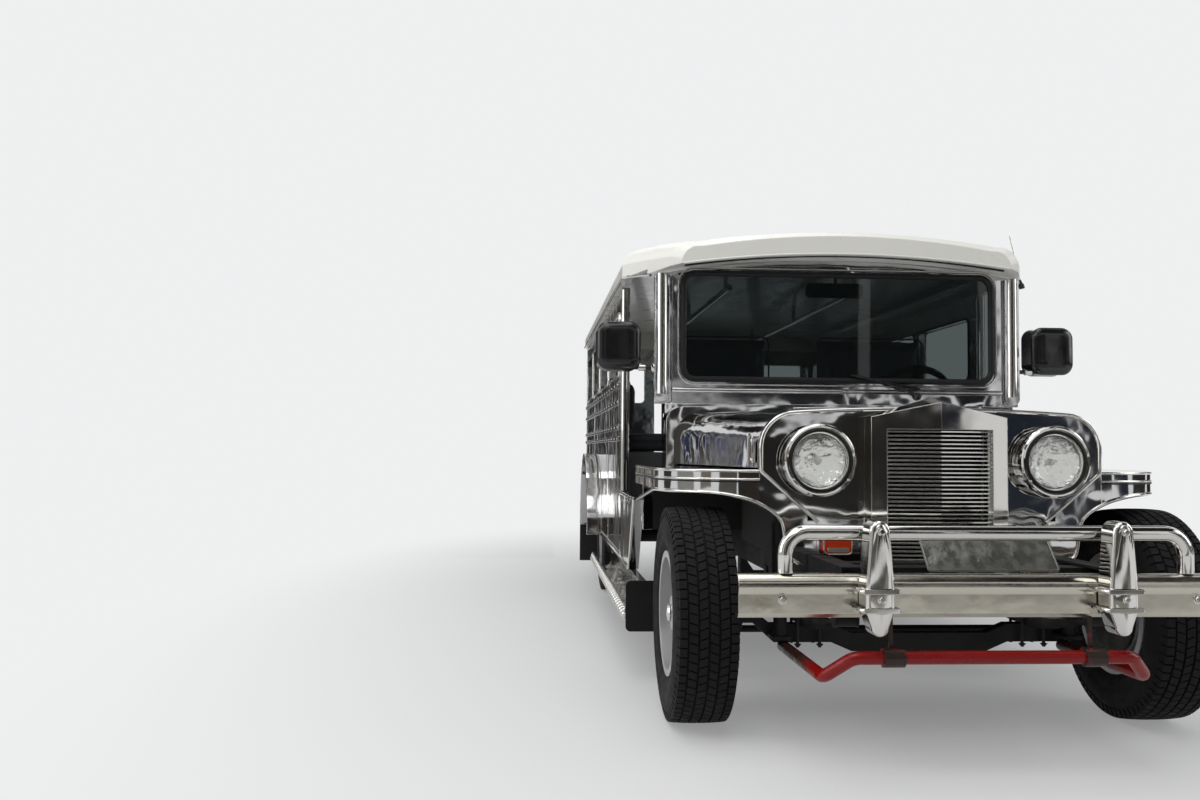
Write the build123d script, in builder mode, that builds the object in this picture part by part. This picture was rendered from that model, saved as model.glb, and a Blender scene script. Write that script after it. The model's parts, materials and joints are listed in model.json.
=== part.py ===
from build123d import *
import os
from math import atan2, degrees, hypot, radians, tan

# A stainless-bodied jeepney in millimetres. The front faces -Y, +X is the vehicle's left, +Z is up.
# The origin is on the ground, midway between the over-riders' faces and the rear step's edge.

# Wheels and axles
wheelbase = 3400
track = 1516
tyre_radius = 352
tyre_width = 206
rim_radius = 191
front_overhang = 700
rear_overhang = 1500

# Body outline
body_half = 880
wall = 40
roof_half = 900
roof_edge_z = 1660
roof_crown_z = 1842
roof_wall = 35
floor_z = 565
floor_thickness = 35
skirt_z = 385
sill_z = 690
doorway_length = 520
body_tail = 180

# Windows of the passenger body
window_low_z = 1250
window_high_z = 1550
window_count = 4
window_post = 60
window_radius = 35

# Chassis
rail_x = 380
rail_width = 60
rail_height = 120
rail_z = 500
rail_wall = 8

# Front end, as distances ahead of the front axle
bumper_ahead = 620
panel_ahead = 150
shell_ahead = 220
panel_half = 566
panel_top_z = 1035
panel_low_z = 525
panel_thickness = 25

# Bonnet, fenders and cowl
fender_half = 870
fender_top_z = 830
fender_thickness = 40
firewall_behind = 860
windscreen_behind = 950
cowl_half = 745
cowl_top_z = 1087
bonnet_top_z = 1062
sheet = 20

# Clearances
seat_gap = 0.3
moving_gap = 6
running_gap = 0.05

# Places worked out from the driving sizes
front_y = (front_overhang - wheelbase - rear_overhang) / 2
rear_y = front_y + wheelbase
front_end_y = front_y - front_overhang
rear_end_y = rear_y + rear_overhang
wheel_x = track / 2
axle_z = tyre_radius
panel_y = front_y - panel_ahead
bumper_y = front_y - bumper_ahead
firewall_y = front_y + firewall_behind
windscreen_y = front_y + windscreen_behind
body_rear_y = rear_end_y - body_tail
cowl_length = windscreen_y + 50 - firewall_y
jamb_y = windscreen_y + 50 + doorway_length
rail_top_z = rail_z + rail_height / 2
rail_bottom_z = rail_z - rail_height / 2
floor_top_z = floor_z + floor_thickness
inner_half = body_half - wall


def facing_front(y):
    """A plane across the vehicle at y, seen from the front: local x is X, local y is Z."""
    return Plane(origin=(0, y, 0), x_dir=(1, 0, 0), z_dir=(0, -1, 0))


def facing_left(x):
    """A plane along the vehicle at x: local x is Y, local y is Z, and its normal is +X."""
    return Plane(origin=(x, 0, 0), x_dir=(0, 1, 0), z_dir=(1, 0, 0))


def save(part, name):
    """Labels a finished piece and writes its file."""
    part.label = name
    export_step(part, f"parts/{name}.step")


os.makedirs("parts", exist_ok=True)

# Chassis frame: two channel rails that carry the engine pads, the shock towers and the rear shock brackets
rail_front_y = bumper_y + 80
rail_rear_y = body_rear_y + 20
rail_outer_x = rail_x + rail_width / 2
web_inner = rail_outer_x - rail_wall
cross_height = 50
cross_z = rail_top_z - 10 - cross_height / 2
spring_width = 60
spring_eye_z = 400
eye_radius = 20
eye_pin_radius = 8
cheek = 6
front_spring_half = 470
rear_spring_half = 560
engine_half = 210
gearbox_rear_y = front_y + 1120
shock_x = 485
shock_y = front_y - 85
tower_z = 700
tow_eye_radius = 12
tow_eye_behind = 30

with BuildPart() as frame_rails:
    with BuildSketch(facing_front(rail_rear_y)):
        with Locations((-rail_x, rail_z), (rail_x, rail_z)):
            Rectangle(rail_width, rail_height)
        pocket_x = rail_x - rail_wall / 2
        with Locations((-pocket_x, rail_z), (pocket_x, rail_z)):
            Rectangle(rail_width - rail_wall, rail_height - 2 * rail_wall, mode=Mode.SUBTRACT)
    extrude(amount=rail_rear_y - rail_front_y)
    for side in (-1, 1):
        # Engine pad on the rail's inner side
        with BuildSketch(facing_front(front_y + 330)):
            with Locations((side * (engine_half + seat_gap + web_inner) / 2, rail_z)):
                Rectangle(web_inner - engine_half - seat_gap, 40)
        extrude(amount=60)
        # Shock tower with its arm
        with BuildSketch(facing_front(shock_y + 30)):
            with Locations((side * rail_x, (rail_top_z + tower_z) / 2)):
                Rectangle(rail_width, tower_z - rail_top_z)
            with Locations((side * (rail_x + shock_x + 30) / 2, tower_z + 5)):
                Rectangle(shock_x - rail_x + 30 + rail_width, 10)
        extrude(amount=60)
        # Rear shock bracket
        with BuildSketch(facing_front(rear_y + 150)):
            with Locations((side * (rail_outer_x + 40), rail_top_z - 15)):
                Rectangle(80, 10)
        extrude(amount=60)
    # Tow eyes through the rails' front ends
    with BuildSketch(facing_left(-rail_x - rail_width)):
        with Locations((rail_front_y + tow_eye_behind, rail_z)):
            Circle(tow_eye_radius)
    extrude(amount=2 * (rail_x + rail_width), mode=Mode.SUBTRACT)
save(frame_rails.part, "frame_rails")

# Cross-members between the rails' webs, and the cradle that hangs under the rails for the gearbox
cradle_y = gearbox_rear_y - 100
cradle_bar = 30
cradle_drop = 90
with BuildPart() as cross_members:
    # Columns: middle along Y, width
    for cross_y, cross_width in (
        (rail_front_y + 130, 80),
        (front_y - 290, 60),
        (gearbox_rear_y + 140, 70),
        (rear_y - 820, 70),
        (rear_y - 250, 70),
        (rear_y + 420, 70),
        (rail_rear_y - 60, 80),
    ):
        with BuildSketch(facing_front(cross_y + cross_width / 2)):
            with Locations((0, cross_z)):
                Rectangle(2 * (web_inner - seat_gap), cross_height)
        extrude(amount=cross_width)
    with BuildSketch(facing_front(cradle_y + 30)):
        with BuildLine():
            cradle_top_z = rail_bottom_z - seat_gap
            Polyline(
                (-rail_outer_x, cradle_top_z),
                (-rail_outer_x, rail_bottom_z - cradle_drop),
                (rail_outer_x, rail_bottom_z - cradle_drop),
                (rail_outer_x, cradle_top_z),
                (rail_outer_x - 20, cradle_top_z),
                (rail_outer_x - 60, rail_bottom_z - cradle_drop + cradle_bar),
                (60 - rail_outer_x, rail_bottom_z - cradle_drop + cradle_bar),
                (20 - rail_outer_x, cradle_top_z),
                close=True,
            )
        make_face()
    extrude(amount=60)
save(cross_members.part, "cross_members")

# Spring hangers under the rails: two cheeks, a top plate and a pin at each spring eye
hanger_length = 44
hanger_plate = 10
with BuildPart() as spring_hangers:
    for axle_y, half in ((front_y, front_spring_half), (rear_y, rear_spring_half)):
        for eye_y in (axle_y - half, axle_y + half):
            for side in (-1, 1):
                for face in (-1, 1):
                    cheek_x = side * rail_x + face * (spring_width / 2 + seat_gap + cheek / 2)
                    with BuildSketch(facing_left(cheek_x - cheek / 2)):
                        with Locations((eye_y, (rail_bottom_z + spring_eye_z) / 2 + 10)):
                            Rectangle(hanger_length, rail_bottom_z - spring_eye_z + 20)
                        with Locations((eye_y, spring_eye_z)):
                            Circle(hanger_length / 2)
                    extrude(amount=cheek)
                with BuildSketch(facing_left(side * rail_x - spring_width / 2 - cheek)):
                    with Locations((eye_y, rail_bottom_z - seat_gap - hanger_plate / 2)):
                        Rectangle(hanger_length, hanger_plate)
                    with Locations((eye_y, spring_eye_z)):
                        Circle(eye_pin_radius)
                extrude(amount=spring_width + 2 * cheek)
save(spring_hangers.part, "spring_hangers")

# Leaf springs: the longest leaf on top, each next one shorter, with eyes at the ends
leaf = 9
front_pad_z = axle_z - 34
rear_pad_z = axle_z - 50
leaf_count = 4


with BuildPart() as leaf_springs:
    # Columns: axle, half length, top of the longest leaf at the axle
    for axle_y, half, top_z in (
        (front_y, front_spring_half, front_pad_z + leaf_count * leaf + seat_gap),
        (rear_y, rear_spring_half, rear_pad_z - 4 * seat_gap),
    ):
        rise = spring_eye_z - top_z + leaf / 2
        radius = (half**2 + rise**2) / (2 * rise)
        for side in (-1, 1):
            spring_plane = facing_left(side * rail_x - spring_width / 2)
            for step in range(leaf_count):
                reach = half - eye_radius + 6 - step * half / (leaf_count + 1)
                with BuildSketch(spring_plane):
                    with Locations((axle_y, top_z + radius)):
                        Circle(radius + (step + 1) * leaf)
                        Circle(radius + step * leaf, mode=Mode.SUBTRACT)
                    with Locations((axle_y, top_z)):
                        Rectangle(2 * reach, 400, mode=Mode.INTERSECT)
                extrude(amount=spring_width)
            with BuildSketch(spring_plane):
                with Locations((axle_y - half, spring_eye_z), (axle_y + half, spring_eye_z)):
                    Circle(eye_radius)
            extrude(amount=spring_width)
            with BuildSketch(spring_plane):
                with Locations((axle_y - half, spring_eye_z), (axle_y + half, spring_eye_z)):
                    Circle(eye_pin_radius + seat_gap)
            extrude(amount=spring_width, mode=Mode.SUBTRACT)
save(leaf_springs.part, "leaf_springs")

# Front axle: a dropped beam with a king-pin boss at each end and a bracket for each shock
king_x = 622
king_radius = 12
boss_radius = 30
boss_height = 70
beam_depth = 46

with BuildPart() as front_axle:
    with BuildSketch(facing_front(front_y + beam_depth / 2)):
        with BuildLine():
            Polyline(
                (-king_x, axle_z + 30),
                (-king_x + 40, axle_z + 30),
                (-king_x + 120, front_pad_z),
                (-300, front_pad_z),
                (-230, front_pad_z - 30),
                (230, front_pad_z - 30),
                (300, front_pad_z),
                (king_x - 120, front_pad_z),
                (king_x - 40, axle_z + 30),
                (king_x, axle_z + 30),
                (king_x, axle_z - 30),
                (king_x - 60, axle_z - 30),
                (king_x - 130, front_pad_z - 60),
                (300, front_pad_z - 60),
                (230, front_pad_z - 90),
                (-230, front_pad_z - 90),
                (-300, front_pad_z - 60),
                (-king_x + 130, front_pad_z - 60),
                (-king_x + 60, axle_z - 30),
                (-king_x, axle_z - 30),
                close=True,
            )
        make_face()
    extrude(amount=beam_depth)
    for side in (-1, 1):
        with BuildSketch(Plane.XY.offset(axle_z - boss_height / 2)):
            with Locations((side * king_x, front_y)):
                Circle(boss_radius)
        extrude(amount=boss_height)
        with BuildSketch(Plane.XY.offset(front_pad_z - 40)):
            with Locations((side * shock_x, (front_y + shock_y - 30) / 2)):
                Rectangle(60, front_y - shock_y + 30)
        extrude(amount=12)
        with BuildSketch(Plane.XY.offset(axle_z - boss_height / 2)):
            with Locations((side * king_x, front_y)):
                Circle(king_radius + running_gap)
        extrude(amount=boss_height, mode=Mode.SUBTRACT)
save(front_axle.part, "front_axle")

# Rear axle: banjo housing, tapered tubes and a spindle at each end
housing_radius = 46
diff_radius = 130
spindle_radius = 24
spindle_root_x = wheel_x - 74
backing_x = wheel_x - 82
backing_radius = 134
spindle_end_x = wheel_x + 20

with BuildPart() as rear_axle:
    with BuildSketch(facing_left(-spindle_root_x)):
        with Locations((rear_y, axle_z)):
            Circle(housing_radius)
    extrude(amount=2 * spindle_root_x)
    # Differential case: a round drum across the axle with a smaller cover on each face
    for case_radius, case_half in ((diff_radius, 80), (diff_radius - 35, 115)):
        with BuildSketch(facing_front(rear_y + case_half)):
            with Locations((0, axle_z)):
                Circle(case_radius)
        extrude(amount=2 * case_half)
    for side in (-1, 1):
        with BuildSketch(facing_left(side * (spindle_root_x - 2))):
            with Locations((rear_y, axle_z)):
                Circle(spindle_radius)
        extrude(amount=side * (spindle_end_x - spindle_root_x + 2))
    # Backing plates inside the drums
    for side in (-1, 1):
        with BuildSketch(facing_left(side * backing_x)):
            with Locations((rear_y, axle_z)):
                Circle(backing_radius)
        extrude(amount=side * 6)
    for side in (-1, 1):
        with BuildSketch(Plane.XY.offset(rear_pad_z)):
            with Locations((side * rail_x, rear_y)):
                Rectangle(spring_width + 10, 110)
        extrude(amount=46 + 30)
        with BuildSketch(Plane.XY.offset(rear_pad_z)):
            with Locations((side * (rail_x + 80), rear_y + 85)):
                Rectangle(60, 130)
        extrude(amount=12)
save(rear_axle.part, "rear_axle")

# Shock absorbers: a body with a slimmer dust tube above, front and rear
shock_radius = 27
with BuildPart() as shock_absorbers:
    # Columns: across X, along Y, foot, top
    for at_x, at_y, foot_z, top_z in (
        (shock_x, shock_y, front_pad_z - 28, tower_z),
        (rail_x + 80, rear_y + 120, rear_pad_z + 12, rail_top_z - 20),
    ):
        for side in (-1, 1):
            with BuildSketch(Plane.XY.offset(foot_z + seat_gap)):
                with Locations((side * at_x, at_y)):
                    Circle(shock_radius - 5)
            extrude(amount=top_z - foot_z - 2 * seat_gap)
            with BuildSketch(Plane.XY.offset(top_z - (top_z - foot_z) * 0.55)):
                with Locations((side * at_x, at_y)):
                    Circle(shock_radius)
            extrude(amount=(top_z - foot_z) * 0.45)
save(shock_absorbers.part, "shock_absorbers")

# Engine and gearbox as plain blocks, with the propeller shaft behind them
engine_front_y = front_y - 20
engine_rear_y = front_y + 620
engine_low_z = 370
engine_top_z = 850
gearbox_low_z = rail_bottom_z - 60
shaft_radius = 35
shaft_front_z = 420
with BuildPart() as powertrain:
    with BuildSketch(Plane.XY.offset(engine_low_z)):
        with Locations((0, (engine_front_y + engine_rear_y) / 2)):
            Rectangle(2 * engine_half, engine_rear_y - engine_front_y)
    extrude(amount=engine_top_z - engine_low_z)
    with BuildSketch(facing_front(engine_rear_y)):
        with Locations((0, engine_low_z + 100)):
            Rectangle(340, 180)
    with BuildSketch(facing_front(gearbox_rear_y)):
        with Locations((0, gearbox_low_z + 85)):
            Rectangle(190, 170)
    loft(ruled=True)
    shaft_run = rear_y - 115 - gearbox_rear_y
    shaft_drop = shaft_front_z - axle_z
    shaft_plane = Plane(
        origin=(0, gearbox_rear_y - 20, shaft_front_z),
        x_dir=(1, 0, 0),
        z_dir=(0, shaft_run, -shaft_drop),
    )
    with BuildSketch(shaft_plane):
        Circle(shaft_radius)
    extrude(amount=hypot(shaft_run, shaft_drop) + 17)
save(powertrain.part, "powertrain")

# Fuel tank under the floor on the left, exhaust under the floor on the right
step_inset = 75
middle_y = (front_y + rear_y) / 2
tank_inner_x = rail_outer_x + 55
tank_outer_x = body_half - step_inset - 15
tank_length = 760
tank_height = 230
with BuildPart() as fuel_tank:
    with BuildSketch(Plane.XY.offset(floor_z - seat_gap - tank_height)):
        with Locations(((tank_inner_x + tank_outer_x) / 2, middle_y + 400)):
            RectangleRounded(tank_outer_x - tank_inner_x, tank_length, 50)
    extrude(amount=tank_height)
save(fuel_tank.part, "fuel_tank")

pipe_radius = 24
silencer_radius = 70
pipe_x = -545
pipe_z = 475
silencer_front_y = middle_y + 50
pipe_end_y = body_rear_y + 40
silencer_length = 520
with BuildPart() as exhaust:
    with BuildSketch(facing_front(silencer_front_y + silencer_length)):
        with Locations((pipe_x, pipe_z)):
            Circle(silencer_radius)
    extrude(amount=silencer_length)
    with BuildSketch(facing_front(pipe_end_y)):
        with Locations((pipe_x, pipe_z)):
            Circle(pipe_radius)
    extrude(amount=pipe_end_y - gearbox_rear_y - 30)
    # Hanger blades up to the floor
    for hanger_y in (silencer_front_y - 200, silencer_front_y + silencer_length + 150, rear_y + 700):
        with BuildSketch(facing_front(hanger_y + 15)):
            with Locations((pipe_x, (pipe_z + floor_z - seat_gap) / 2)):
                Rectangle(8, floor_z - seat_gap - pipe_z)
        extrude(amount=30)
save(exhaust.part, "exhaust")

# Floor, cut away over the rear wheels
arch_half = 430
arch_x = 600
with BuildPart() as floor:
    floor_front_y = firewall_y + 25
    with BuildSketch(Plane.XY.offset(floor_z)):
        with Locations((0, (floor_front_y + body_rear_y) / 2)):
            Rectangle(2 * inner_half, body_rear_y - floor_front_y)
        with Locations((-(arch_x + inner_half) / 2, rear_y), ((arch_x + inner_half) / 2, rear_y)):
            Rectangle(inner_half - arch_x, 2 * arch_half, mode=Mode.SUBTRACT)
    extrude(amount=floor_thickness)
save(floor.part, "floor")

# Front panel: rounded shoulders, slanted lower corners and the radiator's opening
panel_waist_z = 830
diagonal_x = 380
diagonal_z = 668
shoulder_radius = 110
lobe_half = 486
grille_half = 172
grille_low_z = 517
grille_top_z = 963

with BuildPart() as front_panel:
    with BuildSketch(facing_front(panel_y + panel_thickness)) as panel_face:
        with BuildLine() as panel_line:
            Line((-diagonal_x, panel_low_z), (diagonal_x, panel_low_z))
            Line((diagonal_x, panel_low_z), (diagonal_x, diagonal_z))
            Line((diagonal_x, diagonal_z), (panel_half, panel_waist_z))
            Line((panel_half, panel_waist_z), (panel_half, panel_top_z - shoulder_radius - 15))
            ThreePointArc(
                (panel_half, panel_top_z - shoulder_radius - 15),
                (panel_half - 0.3 * shoulder_radius, panel_top_z - 0.3 * shoulder_radius - 15),
                (panel_half - shoulder_radius, panel_top_z - 15),
            )
            ThreePointArc(
                (panel_half - shoulder_radius, panel_top_z - 15),
                (0, panel_top_z),
                (shoulder_radius - panel_half, panel_top_z - 15),
            )
            ThreePointArc(
                (shoulder_radius - panel_half, panel_top_z - 15),
                (0.3 * shoulder_radius - panel_half, panel_top_z - 0.3 * shoulder_radius - 15),
                (-panel_half, panel_top_z - shoulder_radius - 15),
            )
            Line((-panel_half, panel_top_z - shoulder_radius - 15), (-panel_half, panel_waist_z))
            Line((-panel_half, panel_waist_z), (-diagonal_x, diagonal_z))
            Line((-diagonal_x, diagonal_z), (-diagonal_x, panel_low_z))
        make_face()
        with Locations((0, (grille_low_z + grille_top_z) / 2)):
            Rectangle(2 * grille_half, grille_top_z - grille_low_z, mode=Mode.SUBTRACT)
        with Locations((-rail_x, rail_z + seat_gap), (rail_x, rail_z + seat_gap)):
            Rectangle(rail_width + 2 * seat_gap, rail_height, mode=Mode.SUBTRACT)
    extrude(amount=panel_thickness)
save(front_panel.part, "front_panel")

with BuildPart() as radiator:
    with BuildSketch(facing_front(panel_y + panel_thickness + seat_gap + 60)):
        with Locations((0, 740)):
            Rectangle(440, 400)
    extrude(amount=60)
save(radiator.part, "radiator")

# Radiator shell: a gabled box whose front is a shallow prow, open over the grille
shell_half = 222
shell_low_z = 500
shell_corner_z = 1003
shell_peak_z = 1050
shell_ridge_z = 1070
prow = 18
shell_y = front_y - shell_ahead

with BuildPart() as radiator_shell:
    # Columns: place along Y, height of the gable's peak
    for section_y, peak_z in ((panel_y - seat_gap, shell_ridge_z), (shell_y - prow, shell_peak_z)):
        with BuildSketch(facing_front(section_y)):
            with BuildLine():
                Polyline(
                    (-shell_half, shell_low_z),
                    (shell_half, shell_low_z),
                    (shell_half, shell_corner_z),
                    (0, peak_z),
                    (-shell_half, shell_corner_z),
                    close=True,
                )
            make_face()
    loft(ruled=True)
    with BuildSketch(Plane.XY.offset(shell_low_z - 10)):
        with BuildLine():
            Polyline(
                (-shell_half - 10, panel_y),
                (-shell_half - 10, shell_y + prow * 10 / shell_half),
                (0, shell_y - prow),
                (shell_half + 10, shell_y + prow * 10 / shell_half),
                (shell_half + 10, panel_y),
                close=True,
            )
        make_face()
    extrude(amount=shell_ridge_z - shell_low_z + 20, mode=Mode.INTERSECT)
    with BuildSketch(facing_front(panel_y)):
        with Locations((0, (grille_low_z + grille_top_z) / 2)):
            Rectangle(2 * grille_half, grille_top_z - grille_low_z)
    extrude(amount=150, mode=Mode.SUBTRACT)
save(radiator_shell.part, "radiator_shell")

# Grille: slats bent along the prow, carried by two side bars
slat_count = 34
slat_thickness = 5
slat_depth = 16
slat_back = 14
slat_pitch = (grille_top_z - grille_low_z) / slat_count
slat_half = grille_half - seat_gap
slat_front_y = shell_y + 6

with BuildPart() as grille:
    with BuildSketch(Plane.XY.offset(grille_low_z + slat_pitch / 2 - slat_thickness / 2)) as slat_plan:
        with BuildLine():
            Polyline(
                (-slat_half, slat_front_y),
                (0, slat_front_y - prow),
                (slat_half, slat_front_y),
                (slat_half, slat_front_y + slat_depth),
                (0, slat_front_y + slat_depth - prow),
                (-slat_half, slat_front_y + slat_depth),
                close=True,
            )
        make_face()
    slat = extrude(amount=slat_thickness)
    with Locations(*[(0, 0, i * slat_pitch) for i in range(1, slat_count)]):
        add(slat)
    bar_height = grille_top_z - grille_low_z - 2 * seat_gap
    with BuildSketch(Plane.XY.offset(grille_low_z + seat_gap)):
        for side in (-1, 1):
            with Locations((side * (slat_half - 4), slat_front_y + slat_back + 4)):
                Rectangle(8, 16)
    extrude(amount=bar_height)
save(grille.part, "grille")

# Headlamps: a pod on the panel with a reflector bowl, an outer bezel and an inner ring that holds the lens
lamp_x = 384
lamp_z = 862
bezel_radius = 118
lens_radius = 92
pod_radius = 108
pod_depth = 42
bezel_depth = 34
ring_gap = 4
bowl_floor = 10
bulb_hole = 20

with BuildPart() as headlamps:
    for side in (-1, 1):
        with BuildSketch(Plane.XY.offset(lamp_z)):
            rim_y = panel_y - pod_depth
            with BuildLine():
                Polyline(
                    (side * lamp_x, panel_y - seat_gap),
                    (side * lamp_x + pod_radius, panel_y - seat_gap),
                    (side * lamp_x + pod_radius, rim_y),
                    (side * lamp_x + bezel_radius, rim_y),
                    (side * lamp_x + bezel_radius, rim_y - 14),
                    (side * lamp_x + bezel_radius - 3, rim_y - 22),
                    (side * lamp_x + bezel_radius - 8, rim_y - 26),
                    (side * lamp_x + lens_radius + 8 + ring_gap, rim_y - 24),
                    (side * lamp_x + lens_radius + 8 + ring_gap, rim_y - 12),
                    (side * lamp_x + lens_radius + 8, rim_y - 12),
                    (side * lamp_x + lens_radius + 8, rim_y - 22),
                    (side * lamp_x + lens_radius + 5, rim_y - 26),
                    (side * lamp_x + lens_radius, rim_y - 22),
                    (side * lamp_x + lens_radius, rim_y - 6),
                    (side * lamp_x + lens_radius - 6, rim_y - 6),
                )
                ThreePointArc(
                    (side * lamp_x + lens_radius - 6, rim_y - 6),
                    (side * lamp_x + 0.7 * lens_radius, panel_y - 0.55 * pod_depth),
                    (side * lamp_x + bulb_hole, panel_y - bowl_floor),
                )
                Polyline(
                    (side * lamp_x + bulb_hole, panel_y - bowl_floor),
                    (side * lamp_x, panel_y - bowl_floor),
                    (side * lamp_x, panel_y - seat_gap),
                )
            make_face()
        revolve(axis=Axis((side * lamp_x, 0, lamp_z), (0, 1, 0)), revolution_arc=360)
save(headlamps.part, "headlamps")


def dome_middle(edge, height):
    """How far a cap of this height stands out half-way from its edge to its middle."""
    radius = (edge**2 + height**2) / (2 * height)
    return height - radius + (radius**2 - (edge / 2) ** 2) ** 0.5


with BuildPart() as headlamp_lenses:
    lens_back_y = panel_y - pod_depth - 6 - seat_gap
    lens_edge = lens_radius - seat_gap
    lens_inner = lens_edge - 6
    lens_sheet = 8
    dome = 13
    lens_front_y = lens_back_y - lens_sheet
    for side in (-1, 1):
        with BuildSketch(Plane.XY.offset(lamp_z)):
            with BuildLine():
                ThreePointArc(
                    (side * lamp_x, lens_back_y - dome),
                    (side * lamp_x + lens_inner / 2, lens_back_y - dome_middle(lens_inner, dome)),
                    (side * lamp_x + lens_inner, lens_back_y),
                )
                Polyline(
                    (side * lamp_x + lens_inner, lens_back_y),
                    (side * lamp_x + lens_edge, lens_back_y),
                    (side * lamp_x + lens_edge, lens_front_y),
                )
                ThreePointArc(
                    (side * lamp_x + lens_edge, lens_front_y),
                    (side * lamp_x + lens_edge / 2, lens_front_y - dome_middle(lens_edge, dome)),
                    (side * lamp_x, lens_front_y - dome),
                )
                Line((side * lamp_x, lens_front_y - dome), (side * lamp_x, lens_back_y - dome))
            make_face()
        revolve(axis=Axis((side * lamp_x, 0, lamp_z), (0, 1, 0)), revolution_arc=360)
save(headlamp_lenses.part, "headlamp_lenses")

# Front fenders: a flat top, a skirt that follows its rounded front corner, and a lobe beside the panel
fender_inner_x = rail_x + rail_width / 2 + seat_gap
fender_rear_y = firewall_y - seat_gap
fender_skirt = 22
fender_skirt_z = 757
fender_tail_z = 692
corner_run = 330
strip_top_y = front_y + 780
strip_low_y = front_y + 1030
# Columns: distance from the middle, height of the arch's edge
arch_points = (
    (lobe_half - 60, panel_low_z),
    (lobe_half - 15, panel_low_z + 22),
    (lobe_half, panel_low_z + 70),
    (lobe_half + 2, 640),
    (lobe_half + 14, 676),
    (540, 708),
    (590, 733),
    (645, 746),
    (700, 754),
    (fender_half + 10, 757),
)


def fender_plan(side, inset, inner_x, front, rear):
    """The fender's outline from above, drawn a distance inside its outer edge."""
    outer = fender_half - inset
    with BuildSketch() as plan:
        with BuildLine():
            Line((side * inner_x, rear), (side * outer, rear))
            Line((side * outer, rear), (side * outer, front + corner_run))
            ThreePointArc(
                (side * outer, front + corner_run),
                (side * (panel_half + 0.70 * (outer - panel_half)), front + 0.29 * corner_run),
                (side * panel_half, front),
            )
            Line((side * panel_half, front), (side * inner_x, front))
            Line((side * inner_x, front), (side * inner_x, rear))
        make_face()
    return plan.sketch


for side, name in ((-1, "front_fender_right"), (1, "front_fender_left")):
    outer_plan = fender_plan(side, 0, fender_inner_x, panel_y, fender_rear_y)
    inner_plan = fender_plan(side, fender_skirt, fender_inner_x + 20, panel_y + panel_thickness, fender_rear_y)
    with BuildPart() as fender:
        with BuildSketch(Plane.XY.offset(panel_low_z)):
            add(outer_plan)
        extrude(amount=fender_top_z - panel_low_z)
        with BuildSketch(Plane.XY.offset(panel_low_z)):
            add(inner_plan)
        extrude(amount=fender_top_z - fender_thickness - panel_low_z, mode=Mode.SUBTRACT)
        # The arch seen from the front
        with BuildSketch(facing_front(fender_rear_y + 10)):
            with BuildLine():
                front_arch = [(side * x, z) for x, z in arch_points]
                Polyline(
                    *front_arch,
                    (side * (fender_half + 10), panel_low_z - 10),
                    (side * (lobe_half - 60), panel_low_z - 10),
                    close=True,
                )
            make_face()
        extrude(amount=fender_rear_y + 20 - panel_y, mode=Mode.SUBTRACT)
        # The slanted rear edge of the arch stands behind its side opening
        with BuildSketch(facing_left(min(side * 600, side * (fender_half + 10)))):
            with BuildLine():
                Polyline(
                    (panel_y + panel_thickness, panel_low_z - 10),
                    (panel_y + panel_thickness, 640),
                    (front_y - 30, fender_skirt_z),
                    (front_y + 150, fender_skirt_z),
                    (strip_top_y, fender_tail_z),
                    (fender_rear_y + 10, fender_tail_z - 30),
                    (fender_rear_y + 10, panel_low_z - 10),
                    close=True,
                )
            make_face()
        extrude(amount=fender_half - 590, mode=Mode.SUBTRACT)
        # The lobe reaches in to the front panel over the rail
        with BuildSketch(facing_front(panel_y + panel_thickness)):
            lap_inner_x = diagonal_x + seat_gap
            with Locations((side * (lap_inner_x + fender_inner_x + 10) / 2, (rail_top_z + diagonal_z + seat_gap) / 2)):
                Rectangle(fender_inner_x + 10 - lap_inner_x, diagonal_z - rail_top_z - seat_gap)
        extrude(amount=panel_thickness)
        # The front panel's own ground, with its slanted corner
        with BuildSketch(facing_front(panel_y + panel_thickness + seat_gap)):
            with BuildLine():
                Polyline(
                    (side * (diagonal_x + seat_gap), panel_low_z - 10),
                    (side * (diagonal_x + seat_gap), diagonal_z),
                    (side * (panel_half + seat_gap), panel_waist_z),
                    (side * (panel_half + seat_gap), panel_top_z),
                    (0, panel_top_z),
                    (0, panel_low_z - 10),
                    close=True,
                )
            make_face()
        extrude(amount=panel_thickness + 20, mode=Mode.SUBTRACT)
        # Room for the shock tower's arm
        with BuildSketch(facing_front(shock_y + 32)):
            with Locations((side * (rail_x + 95), (panel_low_z + tower_z) / 2)):
                Rectangle(140, tower_z + 24 - panel_low_z)
        extrude(amount=64, mode=Mode.SUBTRACT)
    save(fender.part, name)

# Bonnet: a shell that widens from the front panel to the cowl, hinged at its rear edge
bonnet_low_z = fender_top_z + moving_gap
bonnet_front_y = panel_y + panel_thickness + moving_gap
bonnet_rear_y = firewall_y - moving_gap
bonnet_slant = 30
hinge_half = 200
hinge_radius = 7
pin_radius = 4
pin_grip = 25
hinge_y = firewall_y - moving_gap - hinge_radius
hinge_z = bonnet_top_z + 6


def bonnet_outline(half, top_z, radius, low_z):
    """A flat-topped outline with rounded shoulders, as wide as 2 * half."""
    crown = 16
    with BuildSketch() as outline:
        with BuildLine():
            Line((-half, low_z), (half, low_z))
            Line((half, low_z), (half, top_z - crown - radius))
            ThreePointArc(
                (half, top_z - crown - radius),
                (half - 0.29 * radius, top_z - crown - 0.29 * radius),
                (half - radius, top_z - crown),
            )
            ThreePointArc((half - radius, top_z - crown), (0, top_z), (radius - half, top_z - crown))
            ThreePointArc(
                (radius - half, top_z - crown),
                (0.29 * radius - half, top_z - crown - 0.29 * radius),
                (-half, top_z - crown - radius),
            )
            Line((-half, top_z - crown - radius), (-half, low_z))
        make_face()
    return outline.sketch


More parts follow.
